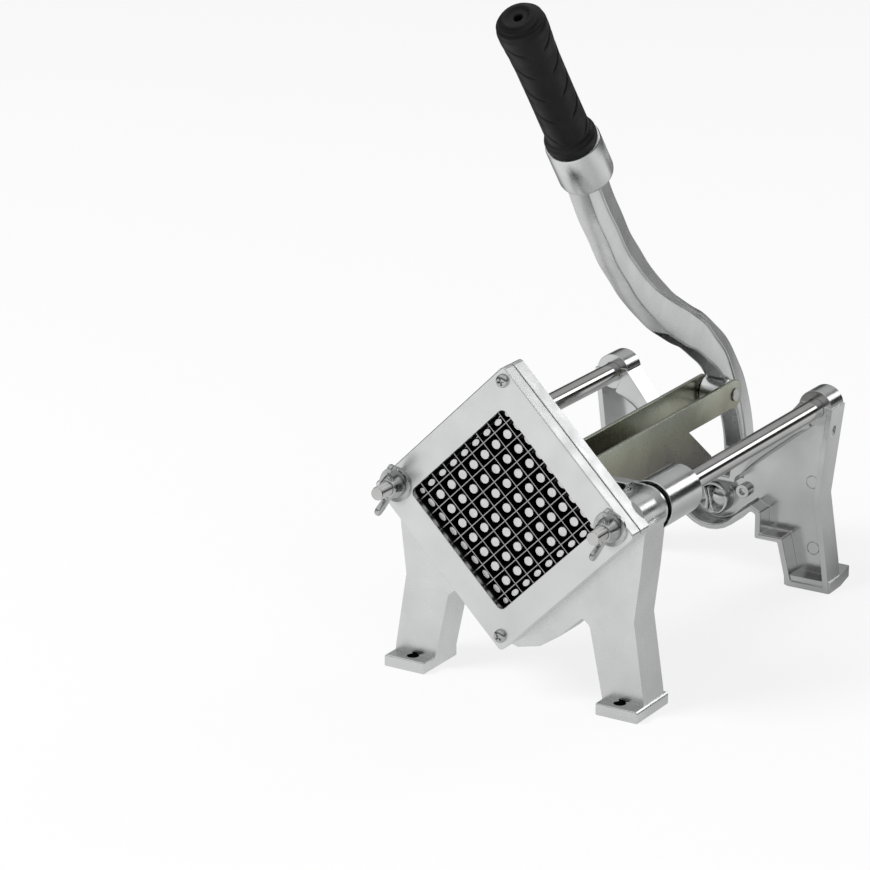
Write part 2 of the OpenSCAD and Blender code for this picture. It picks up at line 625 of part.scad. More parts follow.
module carriage() color(aluminium) place() difference() {
    union() {
        slab(plate_y, plate_t) union() {
            square([2 * rod_x, plate_h], center = true);
            diamond(mount_side);
        }
        slab(mount_y, mount_t + 1) diamond(mount_side);
        both() bar_y(rod_x, rod_z, plate_y, collar_len, 2 * collar_r);
        both() translate([lug_in, 0, 0]) rotate([90, 0, 90]) linear_extrude(lug_t) union() {
            translate([front_pin_y, 0]) circle(link_end_r - 0.9);
            polygon([[plate_y + plate_t - 1, -13], [front_pin_y + 2, -link_end_r + 1.2],
                [front_pin_y + 2, link_end_r - 1.2], [plate_y + plate_t - 1, 13]]);
        }
    }
    both() bar_y(rod_x, rod_z, plate_y - 1, collar_len + 2, 2 * bush_r + 2 * seat_gap);
    bar_x(-50, front_pin_y, 0, 100, front_pin_d + 2 * seat_gap);
    pusher_screw_places() {
        bar_y(0, 0, mount_y - 1, mount_t + plate_t + 2, screw_d + 2 * seat_gap);
        bar_y(0, 0, plate_y + plate_t - screw_head_h, screw_head_h + 1, screw_head_d + 2 * seat_gap);
    }
}
module pusher_screw_places() {
    for (a = [0:90:270]) rotate([0, a, 0]) translate([0, 0, mount_side / 2 - 2]) children();
}
module pusher_screws() color(steel) place() pusher_screw_places() {
    bar_y(0, 0, plate_y + plate_t - screw_head_h, screw_head_h, screw_head_d);
    bar_y(0, 0, pusher_y + 4, plate_y + plate_t - screw_head_h - pusher_y - 4, screw_d);
}
module bush() difference() {
    bar_y(rod_x, rod_z, plate_y + 0.5, collar_len - 1, 2 * bush_r);
    bar_y(rod_x, rod_z, plate_y, collar_len + 2, rod_d + 2 * bush_gap);
}
module bush_right() color([0.75, 0.6, 0.3]) place() bush();
module bush_left() color([0.75, 0.6, 0.3]) place() mirror([1, 0, 0]) bush();
module link_lug_screws() color(steel) place() both() union() {
    bar_x(lug_in, front_pin_y, 0, lug_t, front_pin_d);
    bar_x(lug_in + lug_t, front_pin_y, 0, 3, front_pin_d + 4);
}

// Fingers between the blades: whole posts inside, half posts along the window's edge.
edge_lo = blade_span / 2 + blade_t / 2 + finger_gap;
edge_hi = window_side / 2 - window_gap;
module post(w, h) {
    translate([-w / 2, pusher_y - post_len, -h / 2]) cube([w, post_len + 1, h]);
    translate([0, pusher_y - post_len, 0]) rotate([90, 0, 0])
        cylinder(h = pusher_y - post_len - tip_y, d1 = min(w, h), d2 = min(tip_d, min(w, h) - 1.4), $fn = 24);
}
function row(i) = i == 0 ? -(edge_hi + edge_lo) / 2
    : i == blade_n ? (edge_hi + edge_lo) / 2 : (i - blade_n / 2) * pitch;
function row_w(i) = i == 0 || i == blade_n ? edge_hi - edge_lo : post;
module pusher_block() color(aluminium) place() difference() {
    union() {
        slab(pusher_y, pusher_t) intersection() {
            diamond(pusher_side);
            square(2 * (rod_x - rod_d / 2 - 1), center = true);
        }
        rotate([0, 45, 0]) for (i = [0:blade_n], k = [0:blade_n])
            translate([row(i), 0, row(k)]) post(row_w(i), row_w(k));
    }
    pusher_screw_places() bar_y(0, 0, pusher_y + 3, pusher_t, screw_d + 2 * seat_gap);
}

front_frame();
cover_plate();
cover_screws();
blade_holder();
blades_rising();
blades_falling();
guide_rod_left();
guide_rod_right();
washer_left();
washer_right();
wing_nut_left();
wing_nut_right();
rear_frame();
rod_set_screws();
pivot_bolt();
pivot_nut();
pivot_washers();
lever();
lever_bush();
grip();
link_pin();
link_spacers();
link();
link_front_pin();
carriage();
bush_left();
bush_right();
link_lug_screws();
pusher_block();
pusher_screws();
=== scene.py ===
import math

import bmesh
import bpy
from mathutils import Matrix, Vector


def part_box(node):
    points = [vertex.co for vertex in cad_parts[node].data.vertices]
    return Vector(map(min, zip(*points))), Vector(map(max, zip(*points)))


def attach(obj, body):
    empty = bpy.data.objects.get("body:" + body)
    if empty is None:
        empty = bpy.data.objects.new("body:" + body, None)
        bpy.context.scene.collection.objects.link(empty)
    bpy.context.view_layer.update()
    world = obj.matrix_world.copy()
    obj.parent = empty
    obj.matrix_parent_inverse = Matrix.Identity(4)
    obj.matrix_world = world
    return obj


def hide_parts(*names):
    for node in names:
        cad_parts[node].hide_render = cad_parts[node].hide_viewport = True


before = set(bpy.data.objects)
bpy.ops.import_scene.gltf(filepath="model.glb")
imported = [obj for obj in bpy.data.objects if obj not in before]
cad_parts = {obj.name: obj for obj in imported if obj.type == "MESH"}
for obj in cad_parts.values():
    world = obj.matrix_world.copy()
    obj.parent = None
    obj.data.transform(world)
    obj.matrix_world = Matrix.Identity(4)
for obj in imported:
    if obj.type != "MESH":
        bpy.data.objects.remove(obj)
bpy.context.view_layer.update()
print("frame loaded:", len(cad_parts), "nodes")

mm = 0.001
coverLow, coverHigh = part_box("cover_plate")
coverFront = coverLow.y
gridHeight = (coverLow.z + coverHigh.z) / 2


def place(x, y, z):  # millimetres across, back from the cover's face, up from the grid's centre
    return Vector((x * mm, y * mm + coverFront, z * mm + gridHeight))


def linked(thing):
    bpy.context.scene.collection.objects.link(thing)
    return thing


def meshObject(name, points, faces):
    mesh = bpy.data.meshes.new(name)
    mesh.from_pydata([place(*p) for p in points], [], faces)
    mesh.validate()
    work = bmesh.new()
    work.from_mesh(mesh)
    bmesh.ops.recalc_face_normals(work, faces=work.faces)
    work.to_mesh(mesh)
    work.free()
    return linked(bpy.data.objects.new(name, mesh))


def loft(rings, closed=False):  # skin over rings with the same number of points, capped at both ends
    count = len(rings[0])
    points = [p for ring in rings for p in ring]
    faces = []
    for i in range(len(rings) if closed else len(rings) - 1):
        a = i * count
        b = (i + 1) % len(rings) * count
        for k in range(count):
            n = (k + 1) % count
            faces.append((a + k, a + n, b + n, b + k))
    if not closed:
        faces.append(tuple(range(count - 1, -1, -1)))
        faces.append(tuple(range(len(points) - count, len(points))))
    return points, faces


def lathe(profile, start, direction, steps=48, closed=False):  # profile holds (radius, distance along)
    along = Vector(direction).normalized()
    side = along.orthogonal().normalized()
    other = along.cross(side)
    turns = [2 * math.pi * k / steps for k in range(steps)]
    rings = []
    for radius, far in profile:
        centre = Vector(start) + along * far
        rings.append([tuple(centre + side * (radius * math.cos(t)) + other * (radius * math.sin(t)))
                      for t in turns])
    return loft(rings, closed)


def slabX(outline, x0, x1):  # outline in (y, z)
    return loft([[(x0, y, z) for y, z in outline], [(x1, y, z) for y, z in outline]])


def slabY(outline, y0, y1):  # outline in (x, z)
    return loft([[(x, y0, z) for x, z in outline], [(x, y1, z) for x, z in outline]])


def mirroredX(shape):
    points, faces = shape
    return [(-x, y, z) for x, y, z in points], faces


def joined(shapes):
    points, faces = [], []
    for more, skin in shapes:
        first = len(points)
        points += more
        faces += [tuple(first + i for i in f) for f in skin]
    return points, faces


def applyModifiers(piece):
    depsgraph = bpy.context.evaluated_depsgraph_get()
    mesh = bpy.data.meshes.new_from_object(piece.evaluated_get(depsgraph))
    piece.modifiers.clear()
    old = piece.data
    piece.data = mesh
    bpy.data.meshes.remove(old)


def cutAway(piece, shapes):  # one exact boolean for each shape
    for shape in shapes:
        tool = meshObject("tool", *shape)
        change = piece.modifiers.new("cut", "BOOLEAN")
        change.operation = "DIFFERENCE"
        change.solver = "EXACT"
        change.object = tool
        applyModifiers(piece)
        bpy.data.objects.remove(tool)


def tidyMesh(piece, angle=1):  # joins split corners and drops edges within flat faces
    work = bmesh.new()
    work.from_mesh(piece.data)
    bmesh.ops.remove_doubles(work, verts=work.verts, dist=0.002 * mm)
    bmesh.ops.recalc_face_normals(work, faces=work.faces)
    bmesh.ops.dissolve_limit(work, angle_limit=math.radians(angle), verts=work.verts, edges=work.edges)
    work.to_mesh(piece.data)
    work.free()


def copyNode(node, name):  # a copy of a CAD node's mesh to work on
    piece = linked(bpy.data.objects.new(name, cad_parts[node].data.copy()))
    tidyMesh(piece)
    return piece


def addShapes(piece, shapes):
    extra = meshObject("extra", *joined(shapes))
    work = bmesh.new()
    work.from_mesh(piece.data)
    work.from_mesh(extra.data)
    work.to_mesh(piece.data)
    work.free()
    bpy.data.objects.remove(extra)


rounding = {
    "sharpFrom": 30,  # degrees between two faces
    "share": 0.42,  # of the room beside an edge that its rounding may take
    "reach": 3,  # how far round an edge its neighbours count, in widths
    "needle": -0.85,  # cosine between two edges above which their corner counts as pointed
    "runsOn": -0.5,  # cosine below which one edge runs on smoothly into the next
}


def gapBeside(point, a, b, most):  # from the line a to b, where the point lies beside it
    line = b - a
    share = (point - a).dot(line) / line.length_squared
    return (a + line * share - point).length if 0 < share < 1 else most


def roomBeside(edge, most):  # how far the next corner or edge lies from this one
    room = most
    e0, e1 = (corner.co for corner in edge.verts)
    length = edge.calc_length()
    for corner in edge.verts:
        way = (edge.other_vert(corner).co - corner.co).normalized()
        for other in corner.link_edges:
            near = way.dot((other.other_vert(corner).co - corner.co).normalized())
            if other != edge and near > rounding["needle"]:  # less room in a pointed corner
                slim = min(1, math.sqrt((1.0001 - near) / (1.0001 + near)))
                room = min(room, other.calc_length() * slim, length * slim * 2)
    around = {face for corner in edge.verts for face in corner.link_faces}
    for other in {side for face in around for side in face.edges}:
        if not set(edge.verts) & set(other.verts):
            o0, o1 = (corner.co for corner in other.verts)
            room = min([room] + [gapBeside(o, e0, e1, most) for o in (o0, o1)]
                       + [gapBeside(e, o0, o1, most) for e in (e0, e1, (e0 + e1) / 2)])
    return room


def bevelled(piece, width, inner=None, segments=3):  # rounds sharp edges as far as there is room
    tidyMesh(piece)
    inner = inner or width
    most = max(width, inner)
    work = bmesh.new()
    work.from_mesh(piece.data)
    weight = work.edges.layers.float.new("bevel_weight_edge")
    least = math.radians(rounding["sharpFrom"])
    sharp = [e for e in work.edges if e.is_manifold and e.calc_face_angle() > least]
    for edge in sharp:
        wish = width if edge.is_convex else inner
        room = roomBeside(edge, most * mm * rounding["reach"])
        edge[weight] = min(wish, rounding["share"] * room / mm) / most
    pairs = []  # edges that run on smoothly into each other get one width
    for edge in sharp:
        for corner in edge.verts:
            way = (edge.other_vert(corner).co - corner.co).normalized()
            for other in corner.link_edges:
                onward = (other.other_vert(corner).co - corner.co).normalized()
                if other != edge and other[weight] > 0 and way.dot(onward) < rounding["runsOn"]:
                    pairs.append((edge, other))
    changed = True
    while changed:
        changed = False
        for edge, other in pairs:
            if edge[weight] > other[weight]:
                edge[weight] = other[weight]
                changed = True
    work.to_mesh(piece.data)
    work.free()
    change = piece.modifiers.new("bevel", "BEVEL")
    change.width = most * mm
    change.segments = segments
    change.limit_method = "WEIGHT"
    change.use_clamp_overlap = False
    applyModifiers(piece)
    return piece


def smoothShade(piece, angle=None, flats=False):  # flats keep their own direction beside rounded edges
    for f in piece.data.polygons:
        f.use_smooth = True
    if angle:
        piece.data.set_sharp_from_angle(angle=math.radians(angle))
    if flats:
        change = piece.modifiers.new("flats", "WEIGHTED_NORMAL")
        change.keep_sharp = True
        applyModifiers(piece)


def finishPiece(piece, materials, body, node):  # the piece stands in for the CAD node and moves with the body
    piece.data.materials.clear()
    for material in materials:
        piece.data.materials.append(material)
    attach(piece, body)
    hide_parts(node)


def toLinear(hexColour):
    channels = [int(hexColour[i:i + 2], 16) / 255 for i in (1, 3, 5)]
    return tuple(c / 12.92 if c <= 0.04045 else ((c + 0.055) / 1.055) ** 2.4 for c in channels) + (1,)


def addNode(tree, kind, settings=None, inputs=None):  # inputs are values, or (node, output) to link
    node = tree.nodes.new(kind)
    for key, value in (settings or {}).items():
        if key == "stops":
            points = node.color_ramp.elements
            while len(points) < len(value):
                points.new(0.5)
            for point, (position, colour) in zip(points, value):
                point.position = position
                point.color = toLinear(colour) if isinstance(colour, str) else (colour, colour, colour, 1)
        else:
            setattr(node, key, value)
    for key, value in (inputs or {}).items():
        if isinstance(value, tuple) and isinstance(value[0], bpy.types.Node):
            tree.links.new(value[0].outputs[value[1]], node.inputs[key])
        else:
            node.inputs[key].default_value = value
    return node


def startMaterial(name, look):  # patches of tone and gloss and a fine skin, with sizes in millimetres
    material = bpy.data.materials.new(name)
    material.use_nodes = True
    tree = material.node_tree
    shader = tree.nodes["Principled BSDF"]
    for key, value in look["fixed"].items():
        shader.inputs[key].default_value = value
    where = addNode(tree, "ShaderNodeTexCoord")
    clouds = addNode(tree, "ShaderNodeTexNoise", inputs={
        "Vector": (where, "Object"), "Scale": 1 / (look["clouds"] * mm), "Detail": 3.0})
    low, high = look["tone"]
    tone = addNode(tree, "ShaderNodeValToRGB", {"stops": [(0.3, low), (0.7, high)]}, {"Fac": (clouds, "Fac")})
    tree.links.new(tone.outputs["Color"], shader.inputs["Base Color"])
    wear = addNode(tree, "ShaderNodeTexNoise", inputs={
        "Vector": (where, "Object"), "Scale": 1 / (look["wear"] * mm), "Detail": 3.0})
    low, high = look["rough"]
    gloss = addNode(tree, "ShaderNodeMapRange", inputs={
        "Value": (wear, "Fac"), "From Min": 0.3, "From Max": 0.7, "To Min": low, "To Max": high})
    tree.links.new(gloss.outputs["Result"], shader.inputs["Roughness"])
    skin = addNode(tree, "ShaderNodeTexNoise", inputs={
        "Vector": (where, "Object"), "Scale": 1 / (look["skin"] * mm), "Detail": 4.0})
    bump = addNode(tree, "ShaderNodeBump", inputs={
        "Height": (skin, "Fac"), "Distance": look["relief"] * mm, "Strength": 1.0})
    tree.links.new(bump.outputs["Normal"], shader.inputs["Normal"])
    return material, tree, shader, where


def plainFinish(name, look):
    return startMaterial(name, look)[0]


# Permanent-mould aluminium, tumbled: soft satin with faint clouds and shallow dimples.
tumbledCastAluminium = plainFinish("tumbledCastAluminium", {
    "fixed": {"Metallic": 1.0}, "tone": ("#e2e3e3", "#ebecec"), "clouds": 26,
    "rough": (0.24, 0.33), "wear": 9, "skin": 2.2, "relief": 0.02})
# Die-cast aluminium plate, blasted fine and wiped: even light grey.
satinCoverAluminium = plainFinish("satinCoverAluminium", {
    "fixed": {"Metallic": 1.0}, "tone": ("#e6e7e7", "#eeefef"), "clouds": 34,
    "rough": (0.28, 0.36), "wear": 12, "skin": 1.4, "relief": 0.012})
# The same aluminium, polished after tumbling: a sharper mirror that takes in the dark of the room.
polishedCastAluminium = plainFinish("polishedCastAluminium", {
    "fixed": {"Metallic": 1.0}, "tone": ("#d2d3d3", "#dfe0e0"), "clouds": 30,
    "rough": (0.15, 0.23), "wear": 11, "skin": 3.0, "relief": 0.03})
# Zinc plated screws, nuts and washers: bright, slightly uneven.
brightZincPlate = plainFinish("brightZincPlate", {
    "fixed": {"Metallic": 1.0}, "tone": ("#b2b3b3", "#cbcccc"), "clouds": 5,
    "rough": (0.14, 0.24), "wear": 3, "skin": 1.6, "relief": 0.02})
# Drilled foot holes, painted near black as the shade inside them: dark and dull.
paintedShadeBore = plainFinish("paintedShadeBore", {
    "fixed": {"Metallic": 1.0}, "tone": ("#1c1c1b", "#2b2b29"), "clouds": 4,
    "rough": (0.45, 0.6), "wear": 2, "skin": 0.8, "relief": 0.01})
# Black oxide on alloy steel set screws: near black with a low sheen.
blackOxideSteel = plainFinish("blackOxideSteel", {
    "fixed": {"Metallic": 1.0}, "tone": ("#3a3a3a", "#4a4a4a"), "clouds": 4,
    "rough": (0.3, 0.42), "wear": 2, "skin": 0.8, "relief": 0.01})
# Frame of the blades: dark grey metal with a soft sheen.
darkGreyHolderMetal = plainFinish("darkGreyHolderMetal", {
    "fixed": {"Metallic": 1.0}, "tone": ("#4a4a4a", "#626262"), "clouds": 14,
    "rough": (0.3, 0.42), "wear": 6, "skin": 1.5, "relief": 0.015})
# Ends of the pusher's fingers, painted near white as a painted highlight on their lit ends.
paintedHighlightFingerEnd = plainFinish("paintedHighlightFingerEnd", {
    "fixed": {"Metallic": 1.0}, "tone": ("#f4f4f4", "#fbfbfb"), "clouds": 3,
    "rough": (0.4, 0.5), "wear": 2, "skin": 1.2, "relief": 0.005})
# Sides of the fingers, painted dark as the shade between the fingers.
paintedShadeFingerSide = plainFinish("paintedShadeFingerSide", {
    "fixed": {"Metallic": 1.0}, "tone": ("#262626", "#373737"), "clouds": 6,
    "rough": (0.4, 0.55), "wear": 3, "skin": 1.2, "relief": 0.01})
# Moulded nitrile rubber: near black, dull sheen, fine mould skin.
mouldedBlackRubber = plainFinish("mouldedBlackRubber", {
    "fixed": {"Specular IOR Level": 0.28, "IOR": 1.52}, "tone": ("#070707", "#0f0f0f"), "clouds": 12,
    "rough": (0.4, 0.55), "wear": 7, "skin": 0.9, "relief": 0.03})
# Sintered bronze, filled with oil: warm brown, dull, slightly porous.
sinteredBronze = plainFinish("sinteredBronze", {
    "fixed": {"Metallic": 1.0}, "tone": ("#8c6a3c", "#a98350"), "clouds": 4,
    "rough": (0.35, 0.5), "wear": 2, "skin": 0.7, "relief": 0.02})


# Centreless-ground and polished steel: a mirror with fine rings of gloss round it. Real rings lie
# about 0.1 mm apart and are drawn 2.2 mm apart, so that they show.
def groundSteelRod():
    material, tree, shader, where = startMaterial("groundSteelRod", {
        "fixed": {"Metallic": 1.0}, "tone": ("#c4c4c3", "#d3d3d2"), "clouds": 18,
        "rough": (0.08, 0.12), "wear": 9, "skin": 3.0, "relief": 0.003})
    rings = addNode(tree, "ShaderNodeTexWave", {"bands_direction": "Y"}, {
        "Vector": (where, "Object"), "Scale": math.pi / 10 / (2.2 * mm), "Distortion": 4.0, "Detail": 2.0})
    gloss = addNode(tree, "ShaderNodeMapRange", inputs={
        "Value": (rings, "Fac"), "To Min": 0.07, "To Max": 0.13})
    tree.links.new(gloss.outputs["Result"], shader.inputs["Roughness"])
    return material


# Cold-rolled steel sheet with yellow chromate, its tone lighter olive toward the top edge and darker
# brown-grey lower down.
def yellowZincSheet():
    material, tree, shader, where = startMaterial("yellowZincSheet", {
        "fixed": {"Metallic": 1.0}, "tone": ("#858377", "#9a9b88"), "clouds": 38,
        "rough": (0.22, 0.32), "wear": 16, "skin": 3.0, "relief": 0.01})
    split = addNode(tree, "ShaderNodeSeparateXYZ", inputs={"Vector": (where, "Object")})
    drift = addNode(tree, "ShaderNodeTexNoise", inputs={
        "Vector": (where, "Object"), "Scale": 1 / (38 * mm), "Detail": 2.0, "Distortion": 0.8})
    low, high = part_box("link")
    depth = high.z - low.z
    # lighter toward the top, darker lower down, by height plus noise
    level = addNode(tree, "ShaderNodeMath", {"operation": "MULTIPLY_ADD"}, {
        0: (split, "Z"), 1: 0.7 / depth, 2: -0.7 * low.z / depth - 0.15})
    mixed = addNode(tree, "ShaderNodeMath", {"operation": "MULTIPLY_ADD"}, {
        0: (drift, "Fac"), 1: 0.55, 2: (level, "Value")})
    tone = addNode(tree, "ShaderNodeValToRGB", {
        "stops": [(0.15, "#7f7a76"), (0.4, "#969488"), (0.65, "#abac99"), (0.9, "#bfc5b6")]},
        {"Fac": (mixed, "Value")})
    tree.links.new(tone.outputs["Color"], shader.inputs["Base Color"])
    return material


# Thin ground stainless steel, its colour set by facing: painted shade on the flats and a painted highlight on
# the edges that face front and back.
def paintedShadeBladeSteel():
    material, tree, shader = startMaterial("paintedShadeBladeSteel", {
        "fixed": {"Metallic": 1.0}, "tone": ("#9a9a9a", "#a6a6a6"), "clouds": 9,
        "rough": (0.2, 0.3), "wear": 4, "skin": 0.6, "relief": 0.003})[:3]
    shape = addNode(tree, "ShaderNodeNewGeometry")
    facing = addNode(tree, "ShaderNodeSeparateXYZ", inputs={"Vector": (shape, "True Normal")})
    edge = addNode(tree, "ShaderNodeMath", {"operation": "ABSOLUTE"}, {0: (facing, "Y")})
    # faces turned front or back get the painted highlight, the flats the painted shade
    tone = addNode(tree, "ShaderNodeValToRGB", {"stops": [(0.5, "#343434"), (0.7, "#b4b4b4")]},
                   {"Fac": (edge, "Value")})
    tree.links.new(tone.outputs["Color"], shader.inputs["Base Color"])
    return material


rodSteel = groundSteelRod()
linkZinc = yellowZincSheet()
bladeSteel = paintedShadeBladeSteel()
print("finishes ready")

cameraView = {
    "spot": (1.0052, -1.844, 0.811),  # metres
    "turn": 0.5515,  # radians to the right of straight on
    "tilt": 0.3203,  # radians above level
    "roll": 0.003,
    "lens": 158.85, "sensor": 36,  # millimetres
    "nearest": 0.05,  # metres
}


def makeCamera():
    turn, tilt, roll = cameraView["turn"], cameraView["tilt"], cameraView["roll"]
    ahead = Vector((-math.sin(turn) * math.cos(tilt), math.cos(turn) * math.cos(tilt), -math.sin(tilt)))
    right = Vector((math.cos(turn), math.sin(turn), 0))
    up = right.cross(ahead)
    levelRight = right * math.cos(roll) + up * math.sin(roll)
    levelUp = up * math.cos(roll) - right * math.sin(roll)
    camera = linked(bpy.data.objects.new("camera", bpy.data.cameras.new("camera")))
    camera.data.lens = cameraView["lens"]
    camera.data.sensor_width = cameraView["sensor"]
    camera.data.clip_start = cameraView["nearest"]
    camera.rotation_mode = "QUATERNION"
    camera.rotation_quaternion = Matrix((levelRight, levelUp, -ahead)).transposed().to_quaternion()
    camera.location = cameraView["spot"]
    bpy.context.scene.camera = camera


studio = {
    "floorHalf": 2.2,  # metres
    "floorColour": "#f2f2f2",
    "floorLift": 0.8,  # share of plain white the camera sees on the floor
    "floorMirrored": 0.85,  # share of the painted bands below that the metal mirrors
    "floorBands": [  # metres back plus 0.8 of metres right, and how bright the metal sees the floor there
        (-0.4, 0.8), (-0.1, 0.66), (0, 0.48), (0.12, 0.52), (0.22, 0.42), (0.56, 0.58), (0.75, 0.66),
        (1.07, 0.73)],
    "floorFar": [(0.36, 1.0), (0.6, 0.16)],  # metres back minus metres right: a painted dark patch behind on the left, for the metal to mirror
    "floorShade": ((0.075, 0.22), (0.055, 0.1), 0.3),  # the cutter's shade: middle, radii, what is left
    "shadeEdge": (0.6, 1.3),  # where it starts to fade and ends, in radii
    "skyForLight": 0.45,
    "mirrored": [  # height of a direction above level, and how bright the metal sees it
        (-0.05, 0.5), (0, 0.1), (0.03, 0.05), (0.1, 0.04), (0.25, 0.06), (0.32, 0.34), (0.4, 0.42),
        (0.6, 0.5), (0.75, 0.85), (1, 0.75)],
    "softBox": ((0.419, 0.808, 0.414), 0.986, 0.9895, 2.0),  # direction, edges as cosines, brightness
    "aroundBox": (0.93, 0.975, 0.35),  # edges as cosines of the dark round it, and what is left
    "lamps": {  # place, size in metres, watts
        "keyLamp": ((-1.6, -1.9, 2.4), 1.5, 85),
        "fillLamp": ((1.9, -1.5, 1.2), 1.2, 10),
        "backLamp": ((0.74, 1.85, 1.32), 0.62, 5.5),
    },
    "lampsAim": (0, 0, 0.15),
}


def makeFloor():
    half = studio["floorHalf"]
    corners = [(-half, -half, 0), (half, -half, 0), (half, half, 0), (-half, half, 0)]
    mesh = bpy.data.meshes.new("floor")
    mesh.from_pydata(corners, [], [(0, 1, 2, 3)])
    floor = linked(bpy.data.objects.new("floor", mesh))
    material = bpy.data.materials.new("mattWhiteBoard")
    material.use_nodes = True
    tree = material.node_tree
    tree.nodes.clear()
    matt = addNode(tree, "ShaderNodeBsdfDiffuse", inputs={"Color": toLinear(studio["floorColour"])})
    white = addNode(tree, "ShaderNodeEmission", inputs={"Color": (1, 1, 1, 1), "Strength": 1.0})
    where = addNode(tree, "ShaderNodeTexCoord")
    bright = []  # a ramp runs from 0 to 1, so its distances are halved and shifted
    for direction, stops in (((0.8, 1, 0), studio["floorBands"]), ((-1, 1, 0), studio["floorFar"])):
        along = addNode(tree, "ShaderNodeVectorMath", {"operation": "DOT_PRODUCT"}, {
            0: (where, "Object"), 1: direction})
        scaled = addNode(tree, "ShaderNodeMath", {"operation": "MULTIPLY_ADD"}, {
            0: (along, "Value"), 1: 0.5, 2: 0.3})
        bright.append(addNode(tree, "ShaderNodeValToRGB", {
            "stops": [(far / 2 + 0.3, share) for far, share in stops]}, {"Fac": (scaled, "Value")}))
    both = addNode(tree, "ShaderNodeMath", {"operation": "MULTIPLY"}, {
        0: (bright[0], "Color"), 1: (bright[1], "Color")})
    (x, y), (a, b), left = studio["floorShade"]
    start, end = studio["shadeEdge"]
    off = addNode(tree, "ShaderNodeVectorMath", {"operation": "MULTIPLY_ADD"}, {
        0: (where, "Object"), 1: (1 / a, 1 / b, 0), 2: (-x / a, -y / b, 0)})
    away = addNode(tree, "ShaderNodeVectorMath", {"operation": "LENGTH"}, {0: (off, "Vector")})
    shade = addNode(tree, "ShaderNodeMapRange", inputs={
        "Value": (away, "Value"), "From Min": start, "From Max": end, "To Min": left, "To Max": 1.0})
    both = addNode(tree, "ShaderNodeMath", {"operation": "MULTIPLY"}, {
        0: (both, "Value"), 1: (shade, "Result")})
    bands = addNode(tree, "ShaderNodeEmission", inputs={"Color": (1, 1, 1, 1), "Strength": (both, "Value")})
    ray = addNode(tree, "ShaderNodeLightPath")
    out = addNode(tree, "ShaderNodeOutputMaterial")
    last = matt
    for glow, kind, share in ((bands, "Is Glossy Ray", studio["floorMirrored"]),
                              (white, "Is Camera Ray", studio["floorLift"])):
        part = addNode(tree, "ShaderNodeMath", {"operation": "MULTIPLY"}, {0: (ray, kind), 1: share})
        last = addNode(tree, "ShaderNodeMixShader", inputs={
            0: (part, "Value"), 1: (last, 0), 2: (glow, 0)})
    tree.links.new(last.outputs[0], out.inputs["Surface"])
    mesh.materials.append(material)


def makeSky():  # white to the eye, softer as light, with a dim band near the horizon for the metal to mirror
    world = bpy.data.worlds.new("studioSky")
    bpy.context.scene.world = world
    world.use_nodes = True
    tree = world.node_tree
    tree.nodes.clear()
    where = addNode(tree, "ShaderNodeTexCoord")
    split = addNode(tree, "ShaderNodeSeparateXYZ", inputs={"Vector": (where, "Generated")})
    lifted = addNode(tree, "ShaderNodeMath", {"operation": "MULTIPLY_ADD"}, {0: (split, "Z"), 1: 0.5, 2: 0.5})
    bands = addNode(tree, "ShaderNodeValToRGB", {
        "stops": [((high + 1) / 2, bright) for high, bright in studio["mirrored"]]},
        {"Fac": (lifted, "Value")})
    direction, outer, inner, bright = studio["softBox"]
    near = addNode(tree, "ShaderNodeVectorMath", {"operation": "DOT_PRODUCT"}, {
        0: (where, "Generated"), 1: direction})
    box = addNode(tree, "ShaderNodeMapRange", inputs={
        "Value": (near, "Value"), "From Min": outer, "From Max": inner, "To Max": bright})
    outer, inner, left = studio["aroundBox"]
    dark = addNode(tree, "ShaderNodeMapRange", inputs={
        "Value": (near, "Value"), "From Min": outer, "From Max": inner, "To Min": 1.0, "To Max": left})
    total = addNode(tree, "ShaderNodeMath", {"operation": "MULTIPLY_ADD"}, {
        0: (bands, "Color"), 1: (dark, "Result"), 2: (box, "Result")})
    ray = addNode(tree, "ShaderNodeLightPath")
    plain = addNode(tree, "ShaderNodeBackground", inputs={
        "Color": (1, 1, 1, 1), "Strength": studio["skyForLight"]})
    mirrored = addNode(tree, "ShaderNodeBackground", inputs={
        "Color": (1, 1, 1, 1), "Strength": (total, "Value")})
    white = addNode(tree, "ShaderNodeBackground", inputs={"Color": (1, 1, 1, 1), "Strength": 1.0})
    glossy = addNode(tree, "ShaderNodeMixShader", inputs={
        0: (ray, "Is Glossy Ray"), 1: (plain, 0), 2: (mirrored, 0)})
    seen = addNode(tree, "ShaderNodeMixShader", inputs={
        0: (ray, "Is Camera Ray"), 1: (glossy, 0), 2: (white, 0)})
    addNode(tree, "ShaderNodeOutputWorld", inputs={"Surface": (seen, 0)})


def makeLamps():
    for name, (spot, size, power) in studio["lamps"].items():
        data = bpy.data.lights.new(name, "AREA")
        data.shape = "SQUARE"
        data.size = size
        data.energy = power
        lamp = linked(bpy.data.objects.new(name, data))
        lamp.location = spot
        lamp.rotation_mode = "QUATERNION"
        lamp.rotation_quaternion = (Vector(studio["lampsAim"]) - Vector(spot)).to_track_quat("-Z", "Y")
        lamp.visible_glossy = False  # the metal mirrors the sky's bands instead


makeCamera()
makeFloor()
makeSky()
makeLamps()
bpy.context.scene.view_settings.view_transform = "Standard"
print("studio ready")

guideRod = {
    "across": 68.2, "up": 2.7, "front": 18.95, "back": 261.0, "radius": 6.0, "chamfer": 0.6,
    "studRadius": 4.0, "studEnd": -20.0, "threadEnd": 6.0, "threadPitch": 1.25, "threadDepth": 0.55,
}

